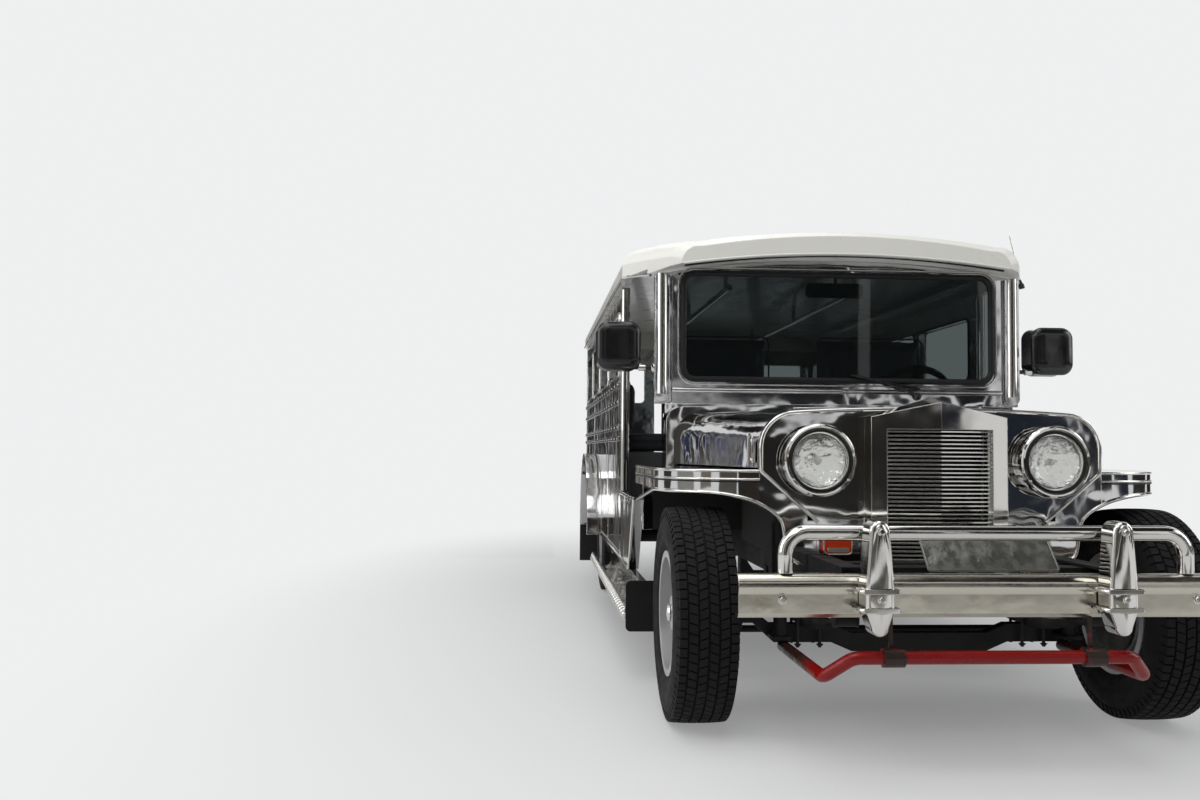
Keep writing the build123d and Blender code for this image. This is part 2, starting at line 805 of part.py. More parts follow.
# Columns: place along Y, half width, top
bonnet_sections = (
    (bonnet_front_y, panel_half - 12, panel_top_z - 4),
    (bonnet_rear_y, cowl_half - 32, bonnet_top_z),
)
bonnet_shoulder = 108
bonnet_outer = [
    (at_y, bonnet_outline(half, top_z, bonnet_shoulder, bonnet_low_z)) for at_y, half, top_z in bonnet_sections
]
bonnet_inner = [
    (at_y, bonnet_outline(half - sheet, top_z - sheet, bonnet_shoulder - sheet, bonnet_low_z - 1))
    for at_y, half, top_z in bonnet_sections
]
with BuildPart() as bonnet:
    for section_y, outline in bonnet_outer:
        with BuildSketch(facing_front(section_y)):
            add(outline)
    loft(ruled=True)
    for section_y, outline in bonnet_inner:
        with BuildSketch(facing_front(section_y)):
            add(outline)
    loft(ruled=True, mode=Mode.SUBTRACT)
    # The front edge slants back so that it clears the panel as the bonnet rises
    with BuildSketch(facing_left(-panel_half - 100)):
        with BuildLine():
            Polyline(
                (bonnet_front_y - 20, bonnet_low_z - 10),
                (bonnet_front_y + bonnet_slant, bonnet_low_z - 10),
                (bonnet_front_y, panel_top_z - 40),
                (bonnet_front_y, panel_top_z + 20),
                (bonnet_front_y - 20, panel_top_z + 20),
                close=True,
            )
        make_face()
    extrude(amount=2 * panel_half + 200, mode=Mode.SUBTRACT)
    # Hinge barrel on the rear edge, bored for the cowl's pins
    with BuildSketch(facing_left(-hinge_half)):
        with Locations((hinge_y, hinge_z)):
            Circle(hinge_radius)
    extrude(amount=2 * hinge_half)
    with BuildSketch(facing_left(-hinge_half)):
        with Locations((hinge_y, hinge_z)):
            Circle(pin_radius + running_gap)
    extrude(amount=2 * hinge_half, mode=Mode.SUBTRACT)
save(bonnet.part, "bonnet")

# Cowl: firewall, sides and top, open to the cab, with a flat seat for the windscreen frame
cowl_outer = bonnet_outline(cowl_half, cowl_top_z, 60, floor_top_z + seat_gap)
cowl_inner = bonnet_outline(cowl_half - 25, cowl_top_z - 25, 40, floor_top_z - 1)
with BuildPart() as cowl:
    with BuildSketch(facing_front(firewall_y + cowl_length)):
        add(cowl_outer)
    extrude(amount=cowl_length)
    with BuildSketch(facing_front(firewall_y + cowl_length + 1)):
        add(cowl_inner)
    extrude(amount=cowl_length - 24, mode=Mode.SUBTRACT)
    with BuildSketch(facing_front(firewall_y + 25)):
        with Locations((0, (floor_z + fender_top_z) / 2)):
            Rectangle(2 * inner_half - 2 * seat_gap, fender_top_z - floor_z)
    extrude(amount=25)
    with BuildSketch(facing_front(firewall_y + cowl_length)):
        with Locations((0, cowl_top_z - 20)):
            Rectangle(2 * cowl_half, 40)
    extrude(amount=cowl_length - windscreen_behind + firewall_behind + 40)
    # Hinge brackets with a pin into each end of the bonnet's barrel
    for side in (-1, 1):
        with BuildSketch(facing_left(side * (hinge_half + seat_gap))):
            with Locations((hinge_y, hinge_z)):
                Circle(hinge_radius)
            with Locations(((hinge_y + firewall_y) / 2 + 2, hinge_z)):
                Rectangle(firewall_y - hinge_y + 4, 10)
        extrude(amount=side * 12)
        with BuildSketch(facing_left(side * (hinge_half - pin_grip))):
            with Locations((hinge_y, hinge_z)):
                Circle(pin_radius)
        extrude(amount=side * (pin_grip + 5))
save(cowl.part, "cowl")

# Windscreen frame: a plate with the glass opening, a post at each side and a rail below the glass
glass_half = 675
glass_low_z = 1182
glass_high_z = 1652
glass_radius = 58
frame_half = 712
frame_depth = 30
post_inner_x = 724
post_outer_x = 786
post_low_z = 1095
visor_mid_z = 1705
visor_side_z = 1650
visor_side_x = 700
header_radius = (visor_side_x**2 + (visor_mid_z - visor_side_z) ** 2) / (2 * (visor_mid_z - visor_side_z))

with BuildPart() as windscreen_frame:
    with BuildSketch(facing_front(windscreen_y + frame_depth)):
        with Locations((0, (cowl_top_z + visor_mid_z) / 2)):
            Rectangle(2 * post_outer_x, visor_mid_z - cowl_top_z)
        with Locations((0, visor_mid_z - seat_gap - header_radius)):
            Circle(header_radius, mode=Mode.INTERSECT)
        with Locations((0, (glass_low_z + glass_high_z) / 2)):
            RectangleRounded(2 * glass_half, glass_high_z - glass_low_z, glass_radius, mode=Mode.SUBTRACT)
    extrude(amount=frame_depth)
    # The raised panel round the glass
    with BuildSketch(facing_front(windscreen_y)):
        with Locations((0, (cowl_top_z + visor_mid_z) / 2)):
            Rectangle(2 * frame_half, visor_mid_z - cowl_top_z)
        with Locations((0, visor_mid_z - seat_gap - header_radius)):
            Circle(header_radius, mode=Mode.INTERSECT)
        with Locations((0, (glass_low_z + glass_high_z) / 2)):
            RectangleRounded(2 * glass_half, glass_high_z - glass_low_z, glass_radius, mode=Mode.SUBTRACT)
    extrude(amount=8)
    # Posts with rounded lower ends
    for side in (-1, 1):
        with BuildSketch(facing_front(windscreen_y)):
            with Locations((side * (post_inner_x + post_outer_x) / 2, (post_low_z + visor_side_z - 15) / 2)):
                RectangleRounded(post_outer_x - post_inner_x, visor_side_z - 15 - post_low_z, 26)
            with Locations((side * (post_inner_x + post_outer_x) / 2, visor_side_z - 40)):
                Rectangle(post_outer_x - post_inner_x, 50)
        extrude(amount=20)
    # The rail below the glass
    with BuildSketch(facing_left(-frame_half)):
        with Locations((windscreen_y - 8, glass_low_z - 36)):
            Circle(9)
    extrude(amount=2 * frame_half)
save(windscreen_frame.part, "windscreen_frame")

with BuildPart() as windscreen_glass:
    with BuildSketch(facing_front(windscreen_y - 4)):
        with Locations((0, (glass_low_z + glass_high_z) / 2)):
            RectangleRounded(
                2 * (glass_half - seat_gap),
                glass_high_z - glass_low_z - 2 * seat_gap,
                glass_radius - seat_gap,
            )
    extrude(amount=6)
save(windscreen_glass.part, "windscreen_glass")

# Roof: a crowned shell with a drooping visor over the windscreen
roof_shoulder = 105
roof_rear_y = body_rear_y + 45


def roof_outline(half, crown_z, shoulder, low_z, mid_z):
    """A crowned outline with rounded shoulders over a lower edge that arches from low_z to mid_z."""
    drop = 62
    with BuildSketch() as outline:
        with BuildLine():
            if mid_z > low_z:
                ThreePointArc((-half, low_z), (0, mid_z), (half, low_z))
            else:
                Line((-half, low_z), (half, low_z))
            Line((half, low_z), (half, crown_z - drop - shoulder * 0.55))
            ThreePointArc(
                (half, crown_z - drop - shoulder * 0.55),
                (half - 0.24 * shoulder, crown_z - drop - shoulder * 0.12),
                (half - shoulder, crown_z - drop + shoulder * 0.12),
            )
            ThreePointArc(
                (half - shoulder, crown_z - drop + shoulder * 0.12),
                (0, crown_z),
                (shoulder - half, crown_z - drop + shoulder * 0.12),
            )
            ThreePointArc(
                (shoulder - half, crown_z - drop + shoulder * 0.12),
                (0.24 * shoulder - half, crown_z - drop - shoulder * 0.12),
                (-half, crown_z - drop - shoulder * 0.55),
            )
            Line((-half, crown_z - drop - shoulder * 0.55), (-half, low_z))
        make_face()
    return outline.sketch


roof_join_y = windscreen_y + frame_depth + seat_gap
# Columns: place along Y, half width, crown, shoulder, side edge, middle of the lower edge
visor_sections = [
    (at_y, roof_outline(half, crown_z, shoulder, low_z, mid_z))
    for at_y, half, crown_z, shoulder, low_z, mid_z in (
        (windscreen_y - 160, 690, 1782, 80, visor_side_z + 8, visor_mid_z + 4),
        (windscreen_y - 130, 735, 1803, 95, visor_side_z, visor_mid_z),
        (roof_join_y, 815, 1820, roof_shoulder, visor_side_z - 10, visor_mid_z),
    )
]
shell_sections = [
    (at_y, roof_outline(half, crown_z, shoulder, roof_edge_z, roof_edge_z))
    for at_y, half, crown_z, shoulder in (
        (roof_join_y, 815, 1820, roof_shoulder),
        (windscreen_y + 300, roof_half, roof_crown_z, roof_shoulder),
        (body_rear_y - 40, roof_half, roof_crown_z, roof_shoulder),
        (roof_rear_y, roof_half - 30, roof_crown_z - 30, roof_shoulder - 10),
    )
]
cavity_sections = [
    (at_y, roof_outline(half - roof_wall, crown_z - roof_wall, roof_shoulder - roof_wall, roof_edge_z - 1, 0))
    for at_y, half, crown_z in (
        (roof_join_y, 815, 1820),
        (windscreen_y + 300, roof_half, roof_crown_z),
        (body_rear_y - wall, roof_half, roof_crown_z),
    )
]
with BuildPart() as roof:
    for section_y, outline in visor_sections:
        with BuildSketch(facing_front(section_y)):
            add(outline)
    loft(ruled=True)
    for section_y, outline in shell_sections:
        with BuildSketch(facing_front(section_y)):
            add(outline)
    loft(ruled=True)
    for section_y, outline in cavity_sections:
        with BuildSketch(facing_front(section_y)):
            add(outline)
    loft(ruled=True, mode=Mode.SUBTRACT)
save(roof.part, "roof")

# Body sides: one wall from sill to roof on each side, with windows and the rear wheel's arch cut
body_length = body_rear_y - jamb_y
post_ends = 95
window_length = (body_length - 2 * post_ends - (window_count - 1) * window_post) / window_count
arch_radius = 425
arch_z = axle_z + 30
for side, name in ((-1, "body_side_right"), (1, "body_side_left")):
    with BuildPart() as body_side:
        with BuildSketch(facing_left(side * inner_half if side > 0 else -body_half)):
            with BuildLine():
                Polyline(
                    (strip_low_y, skirt_z),
                    (firewall_y - 36, sill_z),
                    (jamb_y, sill_z),
                    (jamb_y, roof_edge_z - seat_gap),
                    (body_rear_y, roof_edge_z - seat_gap),
                    (body_rear_y, skirt_z),
                    close=True,
                )
            make_face()
            with Locations((rear_y, arch_z)):
                Circle(arch_radius, mode=Mode.SUBTRACT)
            first_window_y = jamb_y + post_ends + window_length / 2
            with Locations(
                *[
                    (first_window_y + i * (window_length + window_post), (window_low_z + window_high_z) / 2)
                    for i in range(window_count)
                ]
            ):
                RectangleRounded(
                    window_length, window_high_z - window_low_z, window_radius, mode=Mode.SUBTRACT
                )
        extrude(amount=wall)
    save(body_side.part, name)

# Rear wall: two half panels with windows beside the open entrance, standing on the floor
entrance_half = 370
with BuildPart() as rear_wall:
    with BuildSketch(facing_front(body_rear_y)):
        with Locations((0, (floor_top_z + seat_gap + roof_edge_z - seat_gap) / 2)):
            Rectangle(2 * (inner_half - seat_gap), roof_edge_z - floor_top_z - 2 * seat_gap)
        with Locations((0, (floor_top_z + roof_edge_z) / 2)):
            Rectangle(2 * entrance_half, roof_edge_z - floor_top_z + 10, mode=Mode.SUBTRACT)
        rear_window_x = (entrance_half + inner_half) / 2
        with Locations(
            (-rear_window_x, (window_low_z + window_high_z) / 2),
            (rear_window_x, (window_low_z + window_high_z) / 2),
        ):
            RectangleRounded(
                inner_half - entrance_half - 150,
                window_high_z - window_low_z,
                window_radius,
                mode=Mode.SUBTRACT,
            )
    extrude(amount=wall)
save(rear_wall.part, "rear_wall")

# Side mouldings: half-round strips along the passenger body
with BuildPart() as side_mouldings:
    for side in (-1, 1):
        with BuildSketch(facing_front(body_rear_y - 10)):
            for moulding_z in (1205, 1122, 1000, 945):
                with Locations((side * (body_half + seat_gap + 5), moulding_z)):
                    RectangleRounded(10, 24, 4.5)
        extrude(amount=body_rear_y - jamb_y - 40)
save(side_mouldings.part, "side_mouldings")

# Rear fenders: a flared arch round each rear wheel
flare_out = 85
flare_width = 60
with BuildPart() as rear_fenders:
    for side in (-1, 1):
        near = body_half + seat_gap
        with BuildSketch(facing_left(near if side > 0 else -near - flare_out)):
            with Locations((rear_y, arch_z)):
                Circle(arch_radius + flare_width)
                Circle(arch_radius, mode=Mode.SUBTRACT)
            with Locations((rear_y, skirt_z + 500)):
                Rectangle(1200, 1000, mode=Mode.INTERSECT)
        extrude(amount=flare_out)
save(rear_fenders.part, "rear_fenders")

# Mud flaps: a shaped one hung behind each rear wheel and a small one before each side step
flap_low_z = 140
flap_width = 300
flap_sheet = 8
front_flap_low_z = 190
step_front_y = front_y + 620
with BuildPart() as mud_flaps:
    flap_y = rear_y + arch_radius + 40
    flap_outer_x = body_half + flare_out
    for side in (-1, 1):
        with BuildSketch(facing_front(flap_y)):
            with BuildLine():
                Polyline(
                    (side * (flap_outer_x - flap_width), floor_z - seat_gap),
                    (side * (flap_outer_x - flap_width), flap_low_z),
                    (side * flap_outer_x, flap_low_z),
                    (side * flap_outer_x, skirt_z - seat_gap),
                    (side * (inner_half - seat_gap), skirt_z - seat_gap),
                    (side * (inner_half - seat_gap), floor_z - seat_gap),
                    close=True,
                )
            make_face()
        extrude(amount=flap_sheet)
        with BuildSketch(facing_front(step_front_y - seat_gap)):
            with Locations((side * (body_half - 70), (front_flap_low_z + skirt_z) / 2)):
                RectangleRounded(240, skirt_z - front_flap_low_z, 20)
        extrude(amount=flap_sheet)
save(mud_flaps.part, "mud_flaps")

# Side steps: a sloped sheet under the skirt that carries a narrow board
step_z = 240
step_rear_y = rear_y - arch_radius - 60
rear_step_z = 480
rear_step_thickness = 40
rear_step_width = 1000
with BuildPart() as steps:
    for side in (-1, 1):
        with BuildSketch(facing_front(step_rear_y)):
            with BuildLine():
                Polyline(
                    (side * (body_half - 2), skirt_z - seat_gap),
                    (side * (body_half - 30), skirt_z - seat_gap),
                    (side * (body_half - step_inset), step_z + 30),
                    (side * (body_half - step_inset), step_z),
                    (side * (body_half + 50), step_z),
                    (side * (body_half + 50), step_z + 40),
                    (side * (body_half + 40), step_z + 40),
                    (side * (body_half + 40), step_z + 12),
                    (side * (body_half - step_inset + 20), step_z + 12),
                    (side * (body_half - step_inset + 20), step_z + 30),
                    close=True,
                )
            make_face()
        extrude(amount=step_rear_y - step_front_y)
    # Rear step on the rails' ends
    rear_step_y = rail_rear_y + seat_gap
    with BuildSketch(Plane.XY.offset(rear_step_z - rear_step_thickness)):
        with Locations((0, (rear_step_y + rear_end_y) / 2)):
            RectangleRounded(rear_step_width, rear_end_y - rear_step_y, 30)
    extrude(amount=rear_step_thickness)
save(steps.part, "steps")

# Signal lamps: indicators under the headlamps and tail lamps on the rear wall
with BuildPart() as signal_lamps:
    with BuildSketch(facing_front(panel_y - seat_gap)):
        with Locations((-318, 590), (318, 590)):
            RectangleRounded(90, 50, 10)
    extrude(amount=28)
    with BuildSketch(facing_front(body_rear_y + seat_gap + 35)):
        with Locations((-rear_window_x, 860), (rear_window_x, 860)):
            RectangleRounded(90, 210, 18)
    extrude(amount=35)
save(signal_lamps.part, "signal_lamps")

# Benches: boxes along both sides that cover the rear wheels
bench_inner_x = 520
bench_top_z = 880
bench_wall = 20
bench_front_y = jamb_y + 350
seat_x = 390
seat_front_y = windscreen_y + 400
seat_base_z = 840
with BuildPart() as benches:
    for side in (-1, 1):
        bench_centre = side * (bench_inner_x + inner_half) / 2
        bench_width = inner_half - seat_gap - bench_inner_x
        bench_rear_y = body_rear_y - wall - seat_gap
        with BuildSketch(Plane.XY.offset(floor_top_z + seat_gap)):
            with Locations((bench_centre, (bench_front_y + bench_rear_y) / 2)):
                Rectangle(bench_width - seat_gap, bench_rear_y - bench_front_y)
        extrude(amount=bench_top_z - floor_top_z - seat_gap)
        # Open towards the wheel
        with BuildSketch(Plane.XY.offset(floor_top_z - 1)):
            with Locations((side * (arch_x + inner_half) / 2, rear_y)):
                Rectangle(inner_half - arch_x, 2 * arch_half)
        extrude(amount=bench_top_z - floor_top_z - bench_wall + 1, mode=Mode.SUBTRACT)
        # Box under a front seat
        with BuildSketch(Plane.XY.offset(floor_top_z + seat_gap)):
            with Locations((side * seat_x, seat_front_y + 220)):
                Rectangle(520, 400)
        extrude(amount=seat_base_z - floor_top_z - seat_gap)
save(benches.part, "seat_boxes")

# Cushions: long bench pads and backs, and two front seats
with BuildPart() as seat_cushions:
    for side in (-1, 1):
        bench_centre = side * (bench_inner_x + inner_half) / 2
        with BuildSketch(Plane.XY.offset(bench_top_z + seat_gap)):
            with Locations((bench_centre, (bench_front_y + bench_rear_y) / 2)):
                RectangleRounded(inner_half - bench_inner_x - 10, bench_rear_y - bench_front_y - 20, 30)
        extrude(amount=90)
        with BuildSketch(Plane.XY.offset(bench_top_z + 100)):
            with Locations((side * (inner_half - seat_gap - 30), (bench_front_y + bench_rear_y) / 2)):
                Rectangle(60, bench_rear_y - bench_front_y - 40)
        extrude(amount=window_low_z - bench_top_z - 110)
        with BuildSketch(Plane.XY.offset(seat_base_z + seat_gap)):
            with Locations((side * seat_x, seat_front_y + 220)):
                RectangleRounded(540, 440, 40)
        extrude(amount=100)
        with BuildSketch(facing_front(seat_front_y + 470)):
            with Locations((side * seat_x, seat_base_z + 361)):
                RectangleRounded(540, 520, 50)
        extrude(amount=90)
save(seat_cushions.part, "seat_cushions")

# Dashboard behind the cowl and the steering wheel on its column
dash_y = firewall_y + cowl_length + seat_gap
wheel_tilt = 55
steer_x = seat_x
steer_y = dash_y + 190
steer_z = 1110
steer_radius = 200
column_radius = 24
stub_radius = 12
stub_length = 60
steer_plane = Plane(
    origin=(steer_x, steer_y, steer_z),
    x_dir=(1, 0, 0),
    z_dir=(0, -1, -1 / tan(radians(wheel_tilt))),
)
with BuildPart() as dashboard:
    with BuildSketch(facing_left(-cowl_half + 30)):
        with BuildLine():
            Polyline(
                (dash_y, 960),
                (dash_y, cowl_top_z - 4),
                (dash_y + 70, cowl_top_z - 12),
                (dash_y + 110, cowl_top_z - 50),
                (dash_y + 90, 950),
                close=True,
            )
        make_face()
    extrude(amount=2 * cowl_half - 60)
    with BuildSketch(steer_plane):
        Circle(column_radius + seat_gap)
    extrude(amount=600, mode=Mode.SUBTRACT)
save(dashboard.part, "dashboard")

with BuildPart() as steering_wheel:
    with BuildSketch(steer_plane):
        Circle(steer_radius)
        Circle(steer_radius - 24, mode=Mode.SUBTRACT)
        for spoke_angle in (90, 210, 330):
            with Locations(Location((0, 0, 0), (0, 0, spoke_angle))):
                with Locations((steer_radius / 2 - 5, 0)):
                    Rectangle(steer_radius - 20, 30)
        Circle(45)
    extrude(amount=24)
    with BuildSketch(steer_plane.offset(24)):
        Circle(stub_radius)
    extrude(amount=stub_length)
save(steering_wheel.part, "steering_wheel")

with BuildPart() as steering_column:
    with BuildSketch(steer_plane.offset(24 + moving_gap)):
        Circle(column_radius)
    extrude(amount=430)
    with BuildSketch(steer_plane.offset(24)):
        Circle(stub_radius + running_gap)
    extrude(amount=stub_length + moving_gap, mode=Mode.SUBTRACT)
    with BuildSketch(facing_front(firewall_y + 25 + seat_gap)):
        with Locations((steer_x, steer_z - 200)):
            Rectangle(200, 400)
    extrude(amount=200, mode=Mode.SUBTRACT)
save(steering_column.part, "steering_column")

# Bumper: a rounded channel with an iron behind it at each rail
bumper_half = 722
bumper_height = 120
bumper_z = 487
bumper_depth = 60
bumper_wall = 6
bumper_top_z = bumper_z + bumper_height / 2
bumper_low_z = bumper_z - bumper_height / 2
# The rolled top band stands a little ahead of the flat band below its crease
flat_back = 6
roll_radius = 35
roll_back = 44
roll_z = bumper_top_z - (roll_radius**2 - (roll_back - roll_radius) ** 2) ** 0.5
crease_z = roll_z - (roll_radius**2 - (roll_radius - flat_back) ** 2) ** 0.5
roll_inner = roll_radius - bumper_wall
flat_inner = flat_back + bumper_wall
inner_crease_z = roll_z - (roll_inner**2 - (roll_radius - flat_inner) ** 2) ** 0.5
inner_top_z = roll_z + (roll_inner**2 - (roll_back - roll_radius) ** 2) ** 0.5
with BuildPart() as bumper:
    with BuildSketch(facing_left(-bumper_half)):
        with BuildLine():
            Polyline(
                (bumper_y + bumper_depth, bumper_low_z),
                (bumper_y + flat_back + 12, bumper_low_z),
                (bumper_y + flat_back, bumper_low_z + 12),
                (bumper_y + flat_back, crease_z),
            )
            ThreePointArc(
                (bumper_y + flat_back, crease_z),
                (bumper_y + roll_radius * 0.2929, roll_z + roll_radius * 0.7071),
                (bumper_y + roll_back, bumper_top_z),
            )
            Polyline(
                (bumper_y + roll_back, bumper_top_z),
                (bumper_y + bumper_depth, bumper_top_z),
                (bumper_y + bumper_depth, inner_top_z),
                (bumper_y + roll_back, inner_top_z),
            )
            ThreePointArc(
                (bumper_y + roll_back, inner_top_z),
                (bumper_y + roll_radius - roll_inner * 0.7071, roll_z + roll_inner * 0.7071),
                (bumper_y + flat_inner, inner_crease_z),
            )
            Polyline(
                (bumper_y + flat_inner, inner_crease_z),
                (bumper_y + flat_inner, bumper_low_z + 15),
                (bumper_y + flat_inner + 9, bumper_low_z + bumper_wall),
                (bumper_y + bumper_depth, bumper_low_z + bumper_wall),
                (bumper_y + bumper_depth, bumper_low_z),
            )
        make_face()
    extrude(amount=2 * bumper_half)
    with BuildSketch(facing_front(rail_front_y - seat_gap)):
        with Locations((-rail_x, bumper_z), (rail_x, bumper_z)):
            Rectangle(rail_width, 70)
    extrude(amount=rail_front_y - seat_gap - bumper_y - flat_back - bumper_wall / 2)
save(bumper.part, "bumper")

# Bumper guard: a bent tube standing on the bumper behind two tall over-riders
hoop_radius = 22.5
hoop_half = 583
hoop_z = 662
hoop_y = bumper_y + 37
hoop_foot_z = roll_z + roll_radius + seat_gap
rider_x = 344
rider_low_z = 385
rider_top_z = 702
rider_tip = 24
rider_crown = 29
rider_half = 41
rider_round = 13
collar_width = 98
rider_depth = front_overhang - bumper_ahead - seat_gap
with BuildPart() as bumper_guard:
    with BuildLine():
        FilletPolyline(
            (-hoop_half, hoop_y, hoop_foot_z),
            (-hoop_half, hoop_y, hoop_z),
            (hoop_half, hoop_y, hoop_z),
            (hoop_half, hoop_y, hoop_foot_z),
            radius=62,
        )
    with BuildSketch(Plane.XY.offset(hoop_foot_z)):
        with Locations((-hoop_half, hoop_y)):
            Circle(hoop_radius)
    sweep()
    for side in (-1, 1):
        with BuildSketch(facing_front(bumper_y - seat_gap)):
            with BuildLine():
                ThreePointArc(
                    (side * rider_x - rider_tip, rider_low_z + rider_tip),
                    (side * rider_x, rider_low_z),
                    (side * rider_x + rider_tip, rider_low_z + rider_tip),
                )
                Polyline(
                    (side * rider_x + rider_tip, rider_low_z + rider_tip),
                    (side * rider_x + rider_half, bumper_z - 30),
                    (side * rider_x + rider_half, bumper_z + 30),
                    (side * rider_x + rider_crown, rider_top_z - rider_crown),
                )
                ThreePointArc(
                    (side * rider_x + rider_crown, rider_top_z - rider_crown),
                    (side * rider_x, rider_top_z),
                    (side * rider_x - rider_crown, rider_top_z - rider_crown),
                )
                Polyline(
                    (side * rider_x - rider_crown, rider_top_z - rider_crown),
                    (side * rider_x - rider_half, bumper_z + 30),
                    (side * rider_x - rider_half, bumper_z - 30),
                    (side * rider_x - rider_tip, rider_low_z + rider_tip),
                )
            make_face()
        rider = extrude(amount=rider_depth - 8)
        fillet(rider.faces().sort_by(Axis.Y)[0].edges(), radius=rider_round)
        for collar_z in (458, 509):
            with BuildSketch(facing_front(bumper_y - seat_gap)):
                with Locations((side * rider_x, collar_z)):
                    Rectangle(collar_width, 14)
            extrude(amount=rider_depth)
save(bumper_guard.part, "bumper_guard")

# Blank number plate leaning on the bumper, with two stays to its back
plate_width = 390
plate_height = 140
plate_lean = 42
plate_x = 30
plate_low_y = bumper_y + bumper_depth + 2
plate_low_z = bumper_top_z + 2
plate_plane = Plane(
    origin=(plate_x, plate_low_y, plate_low_z), x_dir=(1, 0, 0), z_dir=(0, -1, tan(radians(plate_lean)))
)
with BuildPart() as number_plate:
    with BuildSketch(plate_plane):
        with Locations((0, plate_height / 2)):
            RectangleRounded(plate_width, plate_height, 10)
            with Locations((-140, 50), (140, 50)):
                Circle(4, mode=Mode.SUBTRACT)
    extrude(amount=3)
    with BuildSketch(Plane.XY.offset(bumper_z + 10)):
        for side in (-1, 1):
            with Locations((plate_x + side * 90, bumper_y + bumper_depth + seat_gap + 5)):
                Rectangle(30, 10)
    extrude(until=Until.NEXT)
save(number_plate.part, "number_plate")

# Anti-roll bar: a bent tube held under the front cross-member by two clamps
bar_radius = 19
bar_y = front_y - 620
bar_z = 318
bar_arm_x = 470
bar_arm_z = front_pad_z - 64
hanger_x = 288
clamp_width = 60
with BuildPart() as anti_roll_bar:
    with BuildLine():
        FilletPolyline(
            (-bar_arm_x, front_y - 60, bar_arm_z),
            (-bar_arm_x, bar_y + 60, bar_arm_z),
            (-bar_arm_x + 70, bar_y, bar_z),
            (bar_arm_x - 70, bar_y, bar_z),
            (bar_arm_x, bar_y + 60, bar_arm_z),
            (bar_arm_x, front_y - 60, bar_arm_z),
            radius=45,
        )
    with BuildSketch(Plane(origin=(-bar_arm_x, front_y - 60, bar_arm_z), x_dir=(1, 0, 0), z_dir=(0, -1, 0))):
        Circle(bar_radius)
    sweep()
    # Clamp rings and the thin rods that hang them from the bumper
    for side in (-1, 1):
        with BuildSketch(facing_left(side * hanger_x - clamp_width / 2)):
            with Locations((bar_y, bar_z)):
                Circle(bar_radius + 8)
        extrude(amount=clamp_width)
        with BuildSketch(facing_left(side * hanger_x - 5)):
            rod_low_z = bar_z - 10
            rod_top_z = bumper_low_z - seat_gap
            with Locations((bar_y + bar_radius + 2, (rod_low_z + rod_top_z) / 2)):
                Rectangle(10, rod_top_z - rod_low_z)
        extrude(amount=10)
save(anti_roll_bar.part, "anti_roll_bar")

# Mirrors on short arms beside the windscreen posts
mirror_x = 937
mirror_z = 1330
mirror_y = windscreen_y + 40
with BuildPart() as mirrors:
    for side in (-1, 1):
        with BuildSketch(facing_front(mirror_y + 50)):
            with Locations((side * mirror_x, mirror_z)):
                RectangleRounded(186, 206, 48)
        extrude(amount=95, taper=9)
        with BuildSketch(facing_left(post_outer_x + seat_gap if side > 0 else -mirror_x - 20)):
            with Locations((windscreen_y + frame_depth / 2, mirror_z - 90)):
                Circle(9)
        extrude(amount=mirror_x + 20 - post_outer_x - seat_gap)
save(mirrors.part, "mirrors")

# Grab rails under the roof
with BuildPart() as grab_rails:
    rail_height_z = 1700
    for side in (-1, 1):
        with BuildSketch(facing_front(body_rear_y - 200)):
            with Locations((side * 330, rail_height_z)):
                Circle(16)
        extrude(amount=body_rear_y - 200 - (jamb_y + 200))
        for drop_y in (jamb_y + 300, (jamb_y + body_rear_y) / 2, body_rear_y - 300):
            with BuildSketch(Plane.XY.offset(rail_height_z)):
                with Locations((side * 330, drop_y)):
                    Circle(10)
            extrude(amount=roof_crown_z - roof_wall - 10 - rail_height_z)
save(grab_rails.part, "grab_rails")

# Wheels: a tyre and a rim with its hub and drum, on each of the four spindles
bead_half = 82
drum_radius = 138
hand_hole_count = 10
hand_hole_radius = 14
hand_hole_ring = 158
# Tyre half profile: distance from the wheel's middle plane, radius
tyre_half = tyre_width / 2
tyre_profile = (
    (bead_half, rim_radius + seat_gap),
    (bead_half, 207),
    (tyre_half - 10, 223),
    (tyre_half, 262),
    (tyre_half - 3, 305),
    (tyre_half - 12, 338),
    (tyre_half - 27, tyre_radius),
)


